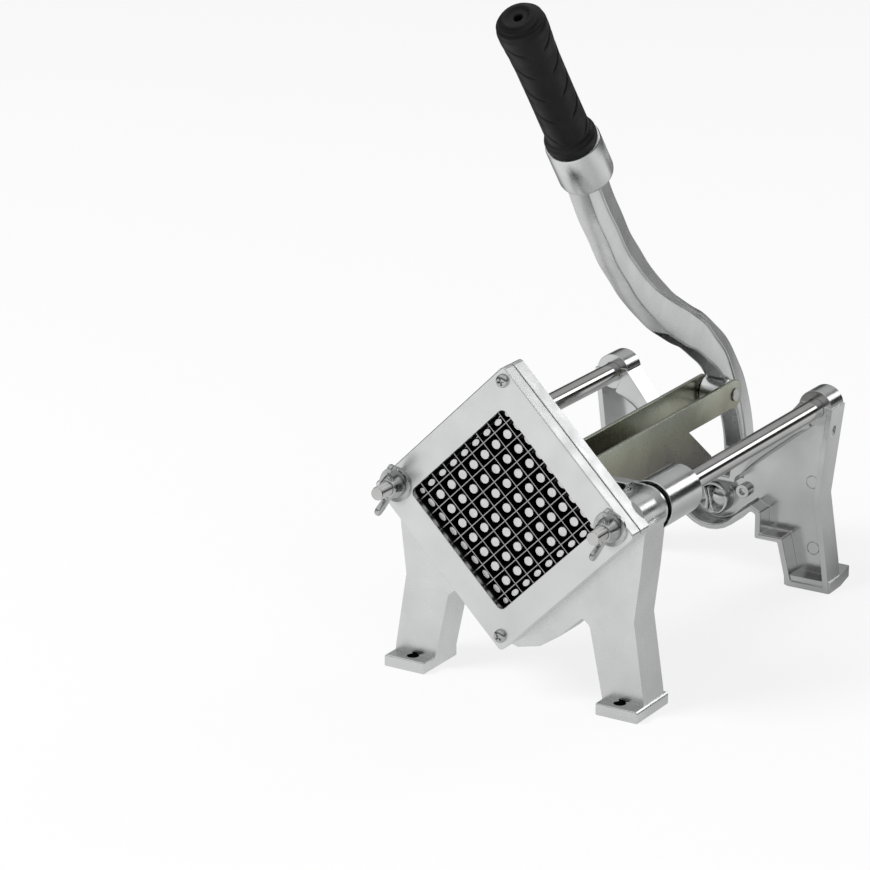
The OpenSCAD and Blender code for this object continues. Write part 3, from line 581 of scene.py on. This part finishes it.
frontFrame = {
    "edge": 0.7, "inner": 1.5,  # radii on outer and inner edges
    "seam": (8.2, 9.5, 80.4),  # groove behind the cover: front, back, its floor's corner from the middle
    "seamReach": 95,
    "footOut": 82.7, "footTop": -104.5, "footBack": 60, "chamfer": 2.0,
    "footHole": (67.0, 16.0, 3.5),  # across, back, radius
    "bossFree": [(18.8, 38.9, 10.3), (38.8, 43.5, 16.0)],  # from, to, radius where the boss stands free
    "bossSector": (-12, 172), "sectorReach": 45, "sectorSteps": 24,  # degrees, millimetres
    "gap": (40.4, 43.5, 9.6, 14.5),  # black gap before the carriage: from, to, radius, outer radius
}


def makeFrontFrame():
    f = frontFrame
    across, up = guideRod["across"], guideRod["up"]
    piece = copyNode("front_frame", "frontFrameCasting")
    y0, y1, inner = f["seam"]
    outer = f["seamReach"]
    loops = []
    for far, y in ((outer, y0), (outer, y1), (inner, y1), (inner, y0)):
        loops.append([(far, y, 0), (0, y, far), (-far, y, 0), (0, y, -far)])
    top, out, c = f["footTop"], f["footOut"], f["chamfer"]
    outline = [(out - c, top + 0.05), (out + 2, top + 2 + c), (out + 2, top - 2 - c), (out + 0.02, top - c)]
    wedge = slabY(outline, 0, f["footBack"])
    low, high = f["bossSector"]
    steps, reach = f["sectorSteps"], f["sectorReach"]
    turns = [math.radians(low + (high - low) * k / steps) for k in range(steps + 1)]
    free = []
    for y0, y1, radius in f["bossFree"]:
        sector = [(across + radius * math.cos(t), up + radius * math.sin(t)) for t in turns]
        sector += [(across + reach * math.cos(t), up + reach * math.sin(t)) for t in reversed(turns)]
        free.append(slabY(sector, y0, y1))
    y0, y1, r0, r1 = f["gap"]
    gap = lathe([(r0, y0), (r1, y0), (r1, y1), (r0, y1)], (across, 0, up), (0, 1, 0), 64, True)
    cuts = free + [wedge, gap]
    cutAway(piece, [loft(loops, True)] + cuts + [mirroredX(cut) for cut in cuts])
    bevelled(piece, f["edge"], f["inner"])
    smoothShade(piece, 35, True)
    finishPiece(piece, [tumbledCastAluminium, paintedShadeBore], "frame", "front_frame")
    x, y, r = f["footHole"]
    for face in piece.data.polygons:  # the walls of the foot holes, below their rounded rims, take the painted shade
        away = [(face.center.xy - place(way * x, y, 0).xy).length for way in (-1, 1)]
        if min(away) < (r + 0.1) * mm and face.center.z < place(0, 0, top - 0.6).z:
            face.material_index = 1


rearFrame = {
    "edge": 1.1, "inner": 1.3,
    "front": 246.0, "web": 259.0,
    "arm": ((15.0, -51.0), (65.8, -8.9)),  # lower edge of the solid arm
    # rounding of that edge: share of the way along it, radius
    "armRound": [(0.13, 0.2), (0.2, 2.4), (0.3, 4.6), (0.45, 5.5), (0.8, 5.5), (0.9, 3.0), (0.97, 0.2)],
    "rings": [(62.3, -47.9), (64.3, -89.4)],  # ejector marks on the web
    "ringRadius": 3.9, "ringWidth": 0.6, "ringDepth": 0.5,
    "lugHole": (17.6, -61.0, 2.0), "lugHoleFrom": 254.0, "lugHoleTo": 257.0,
    "hubCut": (10.55, 249.0, 257.0),  # radius, from, to: makes room for the hub below
    # the hub: radius and distance back, a rounded rim with a dish inside
    "hub": [(10.5, 257.5), (10.5, 251.4), (10.2, 250.5), (9.5, 250.0), (8.9, 250.0), (8.3, 250.5),
            (7.4, 252.0), (5.4, 253.6), (0.3, 254.4)],
    "dome": [(6.2, 255.0), (6.1, 252.6), (5.4, 250.9), (4.0, 249.8), (2.0, 249.2), (0.3, 249.1)],
    "smallBoss": [(2.4, 252.0), (2.4, 248.4), (1.9, 247.9), (1.3, 247.9), (1.1, 248.6), (0.2, 249.6)],
    "hubAt": (0, -67.0), "domeAt": (4.6, -65.6), "smallBossAt": (-8.3, -61.5),
    # curved ribs left of the dome: points across and up, half width
    "ribs": [([(-6.5, -58.5), (-4.6, -63), (-3.4, -68), (-3.6, -74)], 0.9),
             ([(-2.6, -60.5), (-1.6, -65), (-0.6, -70), (1.6, -75)], 0.7)],
    "ribFront": 249.2, "ribShoulder": 249.9, "ribBack": 256.0,
}


def makeRearFrame():
    f = rearFrame
    piece = copyNode("rear_frame", "rearFrameCasting")
    cuts = []
    r, w, y = f["ringRadius"], f["ringWidth"], f["web"]
    for x, z in f["rings"]:
        for side in (-1, 1):
            cuts.append(lathe([(r - w, y - 1), (r + w, y - 1), (r, y + f["ringDepth"])],
                              (side * x, 0, z), (0, 1, 0), 40, True))
    x, z = f["hubAt"]
    r, y0, y1 = f["hubCut"]
    cuts.append(lathe([(r, y0), (r, y1)], (x, 0, z), (0, 1, 0), 48))
    x, z, r = f["lugHole"]
    for side in (-1, 1):
        cuts.append(lathe([(r, f["lugHoleFrom"]), (r, f["lugHoleTo"])], (side * x, 0, z), (0, 1, 0), 32))
    (x0, z0), (x1, z1) = f["arm"]
    long = math.hypot(x1 - x0, z1 - z0)
    outX, outZ = (z1 - z0) / long, (x0 - x1) / long
    turns = [math.pi / 16 * k for k in range(9)]
    rings = []
    for share, radius in f["armRound"]:
        x, z = x0 + (x1 - x0) * share, z0 + (z1 - z0) * share
        section = [(radius * (math.sin(t) - 1), radius * (1 - math.cos(t))) for t in turns]
        section += [(1, radius), (1, -1), (-radius, -1)]
        rings.append([(x + outX * out, f["front"] + back, z + outZ * out) for out, back in section])
    armCut = loft(rings)
    cuts += [armCut, mirroredX(armCut)]
    cutAway(piece, cuts)
    bevelled(piece, f["edge"], f["inner"])
    shapes = []
    for kind in ("hub", "dome", "smallBoss"):
        x, z = f[kind + "At"]
        shapes.append(lathe(f[kind], (x, 0, z), (0, 1, 0), 48))
    front, shoulder, back = f["ribFront"], f["ribShoulder"], f["ribBack"]
    for line, half in f["ribs"]:
        rings = []
        for x, z in line:
            rings.append([(x - half, back, z), (x - half, shoulder, z), (x - half * 0.4, front, z),
                          (x + half * 0.4, front, z), (x + half, shoulder, z), (x + half, back, z)])
        shapes.append(loft(rings))
    addShapes(piece, shapes)
    smoothShade(piece, 35, True)
    finishPiece(piece, [polishedCastAluminium], "frame", "rear_frame")


carriage = {"edge": 0.8, "inner": 1.8}


def makeCarriage():
    piece = copyNode("carriage", "carriageCasting")
    smoothShade(bevelled(piece, carriage["edge"], carriage["inner"]), 35, True)
    finishPiece(piece, [polishedCastAluminium], "carriage", "carriage")


cover = {"edge": 0.7}


def makeCover():
    piece = copyNode("cover_plate", "coverPlate")
    smoothShade(bevelled(piece, cover["edge"]), 35, True)
    finishPiece(piece, [satinCoverAluminium], "frame", "cover_plate")


makeFrontFrame()
makeRearFrame()
makeCarriage()
makeCover()
print("castings ready")


# A screw thread along y, thinner where it runs out.
def threadRings(centre, radius, depth, pitch, y0, y1, steps=32, perTurn=8, runOut=0.4):
    rings = []
    count = int(abs(y1 - y0) / pitch * perTurn)
    for i in range(count + 1):
        y = y0 + (y1 - y0) * i / count
        fade = min(1, i / perTurn, (count - i) / perTurn)
        ring = []
        for k in range(steps):
            t = 2 * math.pi * k / steps
            phase = (y / pitch + k / steps) % 1
            r = radius - depth * fade * abs(2 * phase - 1) - runOut * (1 - fade)
            ring.append((centre[0] + r * math.cos(t), y, centre[1] + r * math.sin(t)))
        rings.append(ring)
    return rings


def makeGuideRod(side, name):
    g = guideRod
    x, z = side * g["across"], g["up"]
    turns = [2 * math.pi * k / 32 for k in range(32)]
    stud, radius, chamfer = g["studRadius"], g["radius"], g["chamfer"]
    rings = threadRings((x, z), stud, g["threadDepth"], g["threadPitch"], g["studEnd"], g["threadEnd"])
    front, back = g["front"], g["back"]
    for r, y in ((stud, g["threadEnd"] + 1), (stud, front), (radius - chamfer, front),
                 (radius, front + chamfer), (radius, back - chamfer), (radius - chamfer, back)):
        rings.append([(x + r * math.cos(t), y, z + r * math.sin(t)) for t in turns])
    piece = meshObject("guideRod" + name, *loft(rings))
    smoothShade(piece, 35)
    finishPiece(piece, [rodSteel], "frame", "guide_rod_" + name.lower())


makeGuideRod(-1, "Left")
makeGuideRod(1, "Right")

wingNut = {
    "base": -1.66, "bore": 4.06, "boreLength": 14.0,
    "body": [(6.75, 0), (7.25, 0.6), (6.95, 2.6), (5.5, 7.2), (4.8, 8.0)],  # radius, distance forward
    "wing": [(3.5, 1.2), (7.0, 1.6), (10.5, 3.6), (13.8, 6.2), (16.0, 8.6), (16.3, 11.0), (14.6, 12.6),
             (12.0, 12.2), (9.8, 9.8), (7.6, 7.6), (3.5, 6.8)],  # distance from the axis, distance forward
    "wingThickness": 3.0, "wingRound": 0.7,
    "lean": 17,  # degrees
    "voxel": 0.32,
}


def makeWingNut(side, name):
    w = wingNut
    x, z = side * guideRod["across"], guideRod["up"]
    shapes = [lathe(w["body"], (0, w["base"], 0), (0, -1, 0), 40)]
    half, soft = w["wingThickness"] / 2, w["wingRound"]
    for way in (-1, 1):
        rings = []
        for offset, inset in ((-half, soft), (-half + soft, 0), (half - soft, 0), (half, soft)):
            rings.append([(offset, w["base"] - forward + inset * 0.3, way * (far - inset * 0.4))
                          for far, forward in w["wing"]])
        shapes.append(loft(rings))
    piece = meshObject("wingNut" + name, *joined(shapes))
    lean = Matrix.Rotation(math.radians(w["lean"]), 4, "Y")
    middle = place(x, 0, z)
    piece.data.transform(Matrix.Translation(middle) @ lean @ Matrix.Translation(-place(0, 0, 0)))
    bore = lathe([(w["bore"], 0), (w["bore"], w["boreLength"])], (x, w["base"] + 2, z), (0, -1, 0), 40)
    skin = piece.modifiers.new("oneSkin", "REMESH")  # forged in one, so body and wings blend
    skin.mode = "VOXEL"
    skin.voxel_size = w["voxel"] * mm * 1
    edges = piece.modifiers.new("forgedEdges", "SMOOTH")
    edges.iterations = 5
    applyModifiers(piece)
    cutAway(piece, [bore])
    smoothShade(piece, 50)
    finishPiece(piece, [brightZincPlate], name.lower() + "_nut", "wing_nut_" + name.lower())


makeWingNut(-1, "Left")
makeWingNut(1, "Right")

pusher = {
    "baseFront": 26.0, "postTop": 14.0, "tipFront": 5.3, "pitch": 10.0, "post": 8.5, "rows": 9,
    "edgeRow": 38.28, "edgePost": 5.05, "cornerRound": 1.0, "sunk": 1.0, "plateEdge": 0.6,
    "tipRadius": 2.9, "tipMargin": 0.6, "tipFoot": 0.55, "tipRound": 0.35, "steps": 32,
}


def makeFinger(u, v, wide, high):  # a rounded square post with a round tip, in the turned square's axes
    p = pusher
    tipU, tipV = (min(p["tipRadius"], size / 2 - p["tipMargin"]) for size in (wide, high))
    corner, soft = p["cornerRound"], p["tipRound"]
    turns = [2 * math.pi * (k + 0.5) / p["steps"] for k in range(p["steps"])]
    rings = []
    for y in (p["baseFront"] + p["sunk"], p["postTop"]):
        rings.append([(u + math.copysign(wide / 2 - corner, math.cos(t)) + corner * math.cos(t),
                       v + math.copysign(high / 2 - corner, math.sin(t)) + corner * math.sin(t), y)
                      for t in turns])
    for y, more in ((p["postTop"], p["tipFoot"]), (p["tipFront"] + soft, 0), (p["tipFront"], -soft)):
        rings.append([(u + (tipU + more) * math.cos(t), v + (tipV + more) * math.sin(t), y) for t in turns])
    half = math.sqrt(0.5)
    return loft([[((a + b) * half, y, (b - a) * half) for a, b, y in ring] for ring in rings])


def makePusher():
    p = pusher
    base = copyNode("pusher_block", "pusherBlock")
    work = bmesh.new()
    work.from_mesh(base.data)
    found = bmesh.ops.bisect_plane(work, geom=work.verts[:] + work.edges[:] + work.faces[:], dist=1e-7,
                                   plane_co=place(0, p["baseFront"] + 0.02, 0), plane_no=(0, -1, 0),
                                   clear_outer=True)
    bmesh.ops.holes_fill(work, edges=[e for e in found["geom_cut"] if isinstance(e, bmesh.types.BMEdge)])
    work.to_mesh(base.data)
    work.free()
    bevelled(base, p["plateEdge"])
    count = p["rows"]
    rows = [(i - (count - 1) / 2) * p["pitch"] for i in range(count)]
    rows[0], rows[-1] = -p["edgeRow"], p["edgeRow"]
    widths = [p["post"]] * count
    widths[0] = widths[-1] = p["edgePost"]
    addShapes(base, [makeFinger(rows[i], rows[k], widths[i], widths[k])
                     for i in range(count) for k in range(count)])
    # finger sides take the painted shade, finger ends the painted highlight
    finishes = [paintedShadeFingerSide, paintedHighlightFingerEnd, polishedCastAluminium]
    finishPiece(base, finishes, "carriage", "pusher_block")
    tipAt = place(0, p["tipFront"] + p["tipRound"] * 0.7, 0).y
    plateAt = place(0, p["baseFront"], 0).y
    # the round finger ends get the painted highlight, the post sides the painted shade
    for face in base.data.polygons:
        if face.center.y < tipAt:
            face.material_index = 1
        elif face.center.y > plateAt and abs(face.normal.y) < 0.9 or face.normal.y > 0.5:
            face.material_index = 2  # the plate's sides and back
    smoothShade(base, 35)


makePusher()
print("pusher ready")

coverScrew = {
    "headRadius": 3.8, "headHeight": 2.6, "shankRadius": 2.0, "shankLength": 8.5,
    "headRound": [(1, 0), (1, 0.35), (0.93, 0.66), (0.76, 0.88), (0.5, 0.98)],  # shares of radius and height
    "slotWidth": 1.15, "slotLength": 4.4, "slotDepth": 1.5, "turns": (0.3, 0.8),  # radians
}


def makeCoverScrews():  # pan heads with a cross slot
    c = coverScrew
    low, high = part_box("cover_screws")
    r, h, shank = c["headRadius"], c["headHeight"], c["shankRadius"]
    ups = [(high.z - gridHeight) / mm - r, (low.z - gridHeight) / mm + r]
    a, b = c["slotLength"] / 2, c["slotWidth"] / 2
    slot = ((-a, -b), (a, -b), (a, b), (-a, b))
    profile = [(shank, -c["shankLength"]), (shank, 0)] + [(r * wide, h * far) for wide, far in c["headRound"]]
    heads, slots = [], []
    for z, first in zip(ups, c["turns"]):
        heads.append(lathe(profile + [(0.4, h)], (0, 0, z), (0, -1, 0), 48))
        for turn in (first, first + math.pi / 2):
            ca, sa = math.cos(turn), math.sin(turn)
            outline = [(u * ca - v * sa, z + u * sa + v * ca) for u, v in slot]
            slots.append(slabY(outline, -h - 1, -h + c["slotDepth"]))
    piece = meshObject("coverScrews", *joined(heads))
    cutAway(piece, slots)
    smoothShade(piece, 40)
    finishPiece(piece, [brightZincPlate], "frame", "cover_screws")


makeCoverScrews()

lever = {
    # back and up of the middle line, from the grip socket down to the pivot. The four lists below
    # go with its points: reach to the front and to the rear, where the raised rear rib starts
    # (forward of the line), and how far the rib stands out sideways.
    "line": [(87.9, 171.9), (101, 150.5), (113, 135), (124, 120), (136, 107.5), (147, 96), (159, 85.5),
             (171, 76), (182.5, 67.5), (195, 60), (208, 52.5), (220, 46.5), (234, 37), (249, 26),
             (262, 12), (274, -5), (285, -33), (290, -68)],
    "front": [12.6, 12.3, 12.2, 12.2, 12.2, 12.2, 12.1, 12.0, 12.0, 11.8, 11.6, 11.4, 11.2, 11.0, 10.6, 10.0,
              9.5, 9.2],
    "rear": [12.6, 12.6, 12.3, 12.3, 12.3, 12.4, 12.5, 12.6, 12.6, 12.6, 12.6, 12.2, 11.8, 11.2, 10.2, 9.8,
             9.5, 9.2],
    "rib": [3.2, 1.8, 1.3, 1.0, 0.5, -1.0, -2.5, -4.4, -6.2, -7.0, -6.8, -5.3, -2.8, -0.3, 3.4, 5.6,
            7.3, 7.6],
    "step": [0.9, 0.9, 0.9, 0.9, 0.9, 0.8, 0.6, 0.4, 0.3, 0.3, 0.5, 0.8, 0.9, 0.9, 0.9, 0.9, 0.9, 0.9],
    "halfWidth": 7.1, "backRound": 3.6, "backLean": 1.1, "taper": 2.6, "rings": 96,
    # fork: ends as places along the line, half width between its plates, back wall, reach forward
    "forkStart": 8.2, "forkEnd": 16.2, "forkHalf": 5.2, "spine": 6.5, "forkReach": 24, "forkSteps": 40,
    "bosses": [((290, -68), 6.0, 9.5), ((252.9, 0), 3.05, 8.6)],  # pivot and pin: place, bore, radius
    "bossHalf": 8, "bossChamfer": 0.6, "boreReach": 15,
    "socketFoot": (91.5, 167), "socketTop": (72.2, 192.5),
    "socketRadius": 15.75, "socketFrom": 3.0, "socketHeight": 29.0,
}


def blendAt(values, t):  # smooth value between the numbers of a list
    i = min(int(t), len(values) - 2)
    f = t - i
    p0, p1, p2, p3 = (values[max(0, min(len(values) - 1, k))] for k in (i - 1, i, i + 1, i + 2))
    return 0.5 * (2 * p1 + (p2 - p0) * f + (2 * p0 - 5 * p1 + 4 * p2 - p3) * f * f
                  + (3 * p1 - p0 - 3 * p2 + p3) * f ** 3)


def leverPoint(t):
    return blendAt([p[0] for p in lever["line"]], t), blendAt([p[1] for p in lever["line"]], t)


def leverFront(t):  # unit direction to the lever's front side
    y0, z0 = leverPoint(max(0, t - 0.05))
    y1, z1 = leverPoint(min(len(lever["line"]) - 1, t + 0.05))
    long = math.hypot(y1 - y0, z1 - z0)
    return (z1 - z0) / long, -(y1 - y0) / long


def leverRing(t):  # half an outline from the front edge to the back, and its mirror image
    cy, cz = leverPoint(t)
    fy, fz = leverFront(t)
    front, rear, rib, step = (blendAt(lever[k], t) for k in ("front", "rear", "rib", "step"))
    wide = lever["halfWidth"]
    outer = wide + step
    half = [(wide - 1.3, front), (wide - 0.4, front - 0.35), (wide, front - 1.2), (wide, rib + 1.0),
            (wide - 0.25, rib + 0.7), (wide - 0.1, rib + 0.35), (outer - 0.2, rib), (outer, rib - 0.5)]
    edge = outer - lever["taper"]
    deep, lean = lever["backRound"], lever["backLean"]
    for k in range(9):  # side that leans in, then the round back
        a = math.pi / 2 * k / 8
        half.append((edge - deep * lean * (1 - math.cos(a)), -(rear - deep) - deep * math.sin(a)))
    ring = half + [(-x, v) for x, v in reversed(half)]
    return [(x, cy + fy * v, cz + fz * v) for x, v in ring]


def gripDirection():
    (y0, z0), (y1, z1) = lever["socketFoot"], lever["socketTop"]
    return Vector((0, y1 - y0, z1 - z0)).normalized()


def makeLever():
    v = lever
    last = len(v["line"]) - 1
    count = v["rings"]
    piece = meshObject("leverCasting", *loft([leverRing(last * k / count) for k in range(count + 1)]))
    start, stop, steps = v["forkStart"], v["forkEnd"], v["forkSteps"]
    frontLine, backLine = [], []
    for k in range(steps + 1):
        t = start + (stop - start) * k / steps
        cy, cz = leverPoint(t)
        fy, fz = leverFront(t)
        floor = blendAt(v["rear"], t) - v["spine"]
        frontLine.append((cy + fy * v["forkReach"], cz + fz * v["forkReach"]))
        backLine.append((cy - fy * floor, cz - fz * floor))
    cutAway(piece, [slabX(frontLine + backLine[::-1], -v["forkHalf"], v["forkHalf"])])
    reach = v["boreReach"]
    for (y, z), bore, radius in v["bosses"]:  # clears the way for the boss's own bore
        cutAway(piece, [lathe([(bore + 1, 0), (bore + 1, 2 * reach)], (-reach, y, z), (1, 0, 0), 40)])
    up = gripDirection()
    foot = Vector((0, *v["socketFoot"])) + up * v["socketFrom"]
    r, high = v["socketRadius"], v["socketHeight"]
    profile = [(r - 3, 0), (r - 1.1, 0.3), (r - 0.3, 1.2), (r, 2.6), (r, high - 1.2), (r - 0.5, high - 0.3),
               (r - 1.6, high)]
    shapes = [lathe(profile, foot, up, 72)]
    half, c = v["bossHalf"], v["bossChamfer"]
    for (y, z), bore, radius in v["bosses"]:
        profile = [(bore, 0), (radius - c, 0), (radius, c), (radius, 2 * half - c), (radius - c, 2 * half),
                   (bore, 2 * half)]
        shapes.append(lathe(profile, (-half, y, z), (1, 0, 0), 48, True))
    addShapes(piece, shapes)
    smoothShade(piece, 32)
    finishPiece(piece, [tumbledCastAluminium], "lever", "lever")


makeLever()
print("lever ready")

grip = {
    "steps": 168, "rows": 260,
    # radius at a distance from the lever's socket
    "profile": [(0, 14.0), (1.2, 14.75), (4.5, 14.75), (7.0, 13.9), (9.5, 12.75), (40, 12.65), (62, 12.75),
                (74, 13.1), (82, 13.6), (88, 14.0), (92.5, 14.0), (96, 13.3), (98.5, 11.4), (100.1, 9.2)],
    # curved strokes that rise toward the cap on both sides of the turn that faces front right
    "strokeGap": 9.0, "strokeRise": 13.0, "strokeWidth": 0.75, "strokeDepth": 1.0, "faces": -0.74,
    # radians from there at which they fade in and out
    "nearStrokes": (0.25, 0.55, 1.2, 1.45), "sideStrokes": (1.05, 1.25, 1.75, 2.1),
    "patternFrom": 10.0, "patternTo": 90.0, "fadeIn": 4.0, "fadeOut": 5.0,
    "end": [(100.7, 8.3), (100.8, 7.6), (100.5, 6.8), (99.7, 6.0), (99.2, 4.7), (99.5, 3.4), (99.2, 2.6),
            (98.2, 2.25), (76.0, 2.25)],  # raised rim, dish and hole
}


def profileRadius(profile, far):
    for (d0, r0), (d1, r1) in zip(profile, profile[1:]):
        if far <= d1:
            f = (far - d0) / (d1 - d0)
            return r0 + (r1 - r0) * (3 * f * f - 2 * f ** 3)
    return profile[-1][1]


def gripRelief(turn, far):  # short moulded strokes, the near and the side ones taking turns
    g = grip
    comes, goes = (far - g["patternFrom"]) / g["fadeIn"], (g["patternTo"] - far) / g["fadeOut"]
    inside = min(1, max(0, comes), max(0, goes))
    away = abs(math.remainder(turn - g["faces"], 2 * math.pi))
    along = (far - g["strokeRise"] * (1 - math.cos(away))) / g["strokeGap"]
    nearest = round(along)
    a, b, c, d = g["nearStrokes"] if nearest % 2 else g["sideStrokes"]
    shown = min(1, max(0, (away - a) / (b - a)), max(0, (d - away) / (d - c)))
    off = (along - nearest) * g["strokeGap"]
    return -g["strokeDepth"] * inside * shown * math.exp(-(off / g["strokeWidth"]) ** 2)


def makeGrip():
    g = grip
    up = gripDirection()
    start = Vector((0, *lever["socketTop"]))
    across = Vector((1, 0, 0))
    other = up.cross(across)
    coarse = 1
    rows, steps = g["rows"] // coarse, g["steps"] // coarse
    turns = [2 * math.pi * k / steps for k in range(steps)]
    heights = [g["profile"][-1][0] * i / rows for i in range(rows + 1)]
    levels = [(far, profileRadius(g["profile"], far)) for far in heights]
    rings = []
    for far, radius in levels + g["end"]:
        ring = []
        for t in turns:
            r = radius + gripRelief(t, far)
            ring.append(tuple(start + up * far + across * (r * math.cos(t)) + other * (r * math.sin(t))))
        rings.append(ring)
    piece = meshObject("rubberGrip", *loft(rings))
    smoothShade(piece)
    finishPiece(piece, [mouldedBlackRubber], "lever", "grip")


makeGrip()
print("grip ready")

smallParts = {  # nodes that only get rounded edges: name, width of the rounding, finish, body
    "link": ("foldedLink", 0.45, linkZinc, "link"),
    "washer_left": ("washerLeft", 0.35, brightZincPlate, "frame"),
    "washer_right": ("washerRight", 0.35, brightZincPlate, "frame"),
    "blade_holder": ("bladeHolder", 0.25, darkGreyHolderMetal, "frame"),
    "rod_set_screws": ("rodSetScrews", 0.2, blackOxideSteel, "frame"),
    "pivot_bolt": ("pivotBolt", 0.5, brightZincPlate, "frame"),
    "pivot_nut": ("pivotNut", 0.5, brightZincPlate, "frame"),
    "pivot_washers": ("pivotWashers", 0.2, brightZincPlate, "frame"),
    "lever_bush": ("leverBush", 0.3, sinteredBronze, "lever"),
    "bush_left": ("bushLeft", 0.3, sinteredBronze, "carriage"),
    "bush_right": ("bushRight", 0.3, sinteredBronze, "carriage"),
    "link_pin": ("linkPin", 0.6, brightZincPlate, "lever"),
    "link_spacers": ("linkSpacers", 0.2, brightZincPlate, "lever"),
    "link_front_pin": ("linkFrontPin", 0.4, brightZincPlate, "link"),
    "link_lug_screws": ("linkLugScrews", 0.4, brightZincPlate, "carriage"),
    "pusher_screws": ("pusherScrews", 0.4, brightZincPlate, "carriage"),
}
for node, (name, width, finish, body) in smallParts.items():
    piece = bevelled(copyNode(node, name), width, segments=2)
    smoothShade(piece, 35, True)
    finishPiece(piece, [finish], body, node)
for node in ("blades_rising", "blades_falling"):
    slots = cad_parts[node].data.materials
    slots.clear()
    slots.append(bladeSteel)
print("small parts ready")
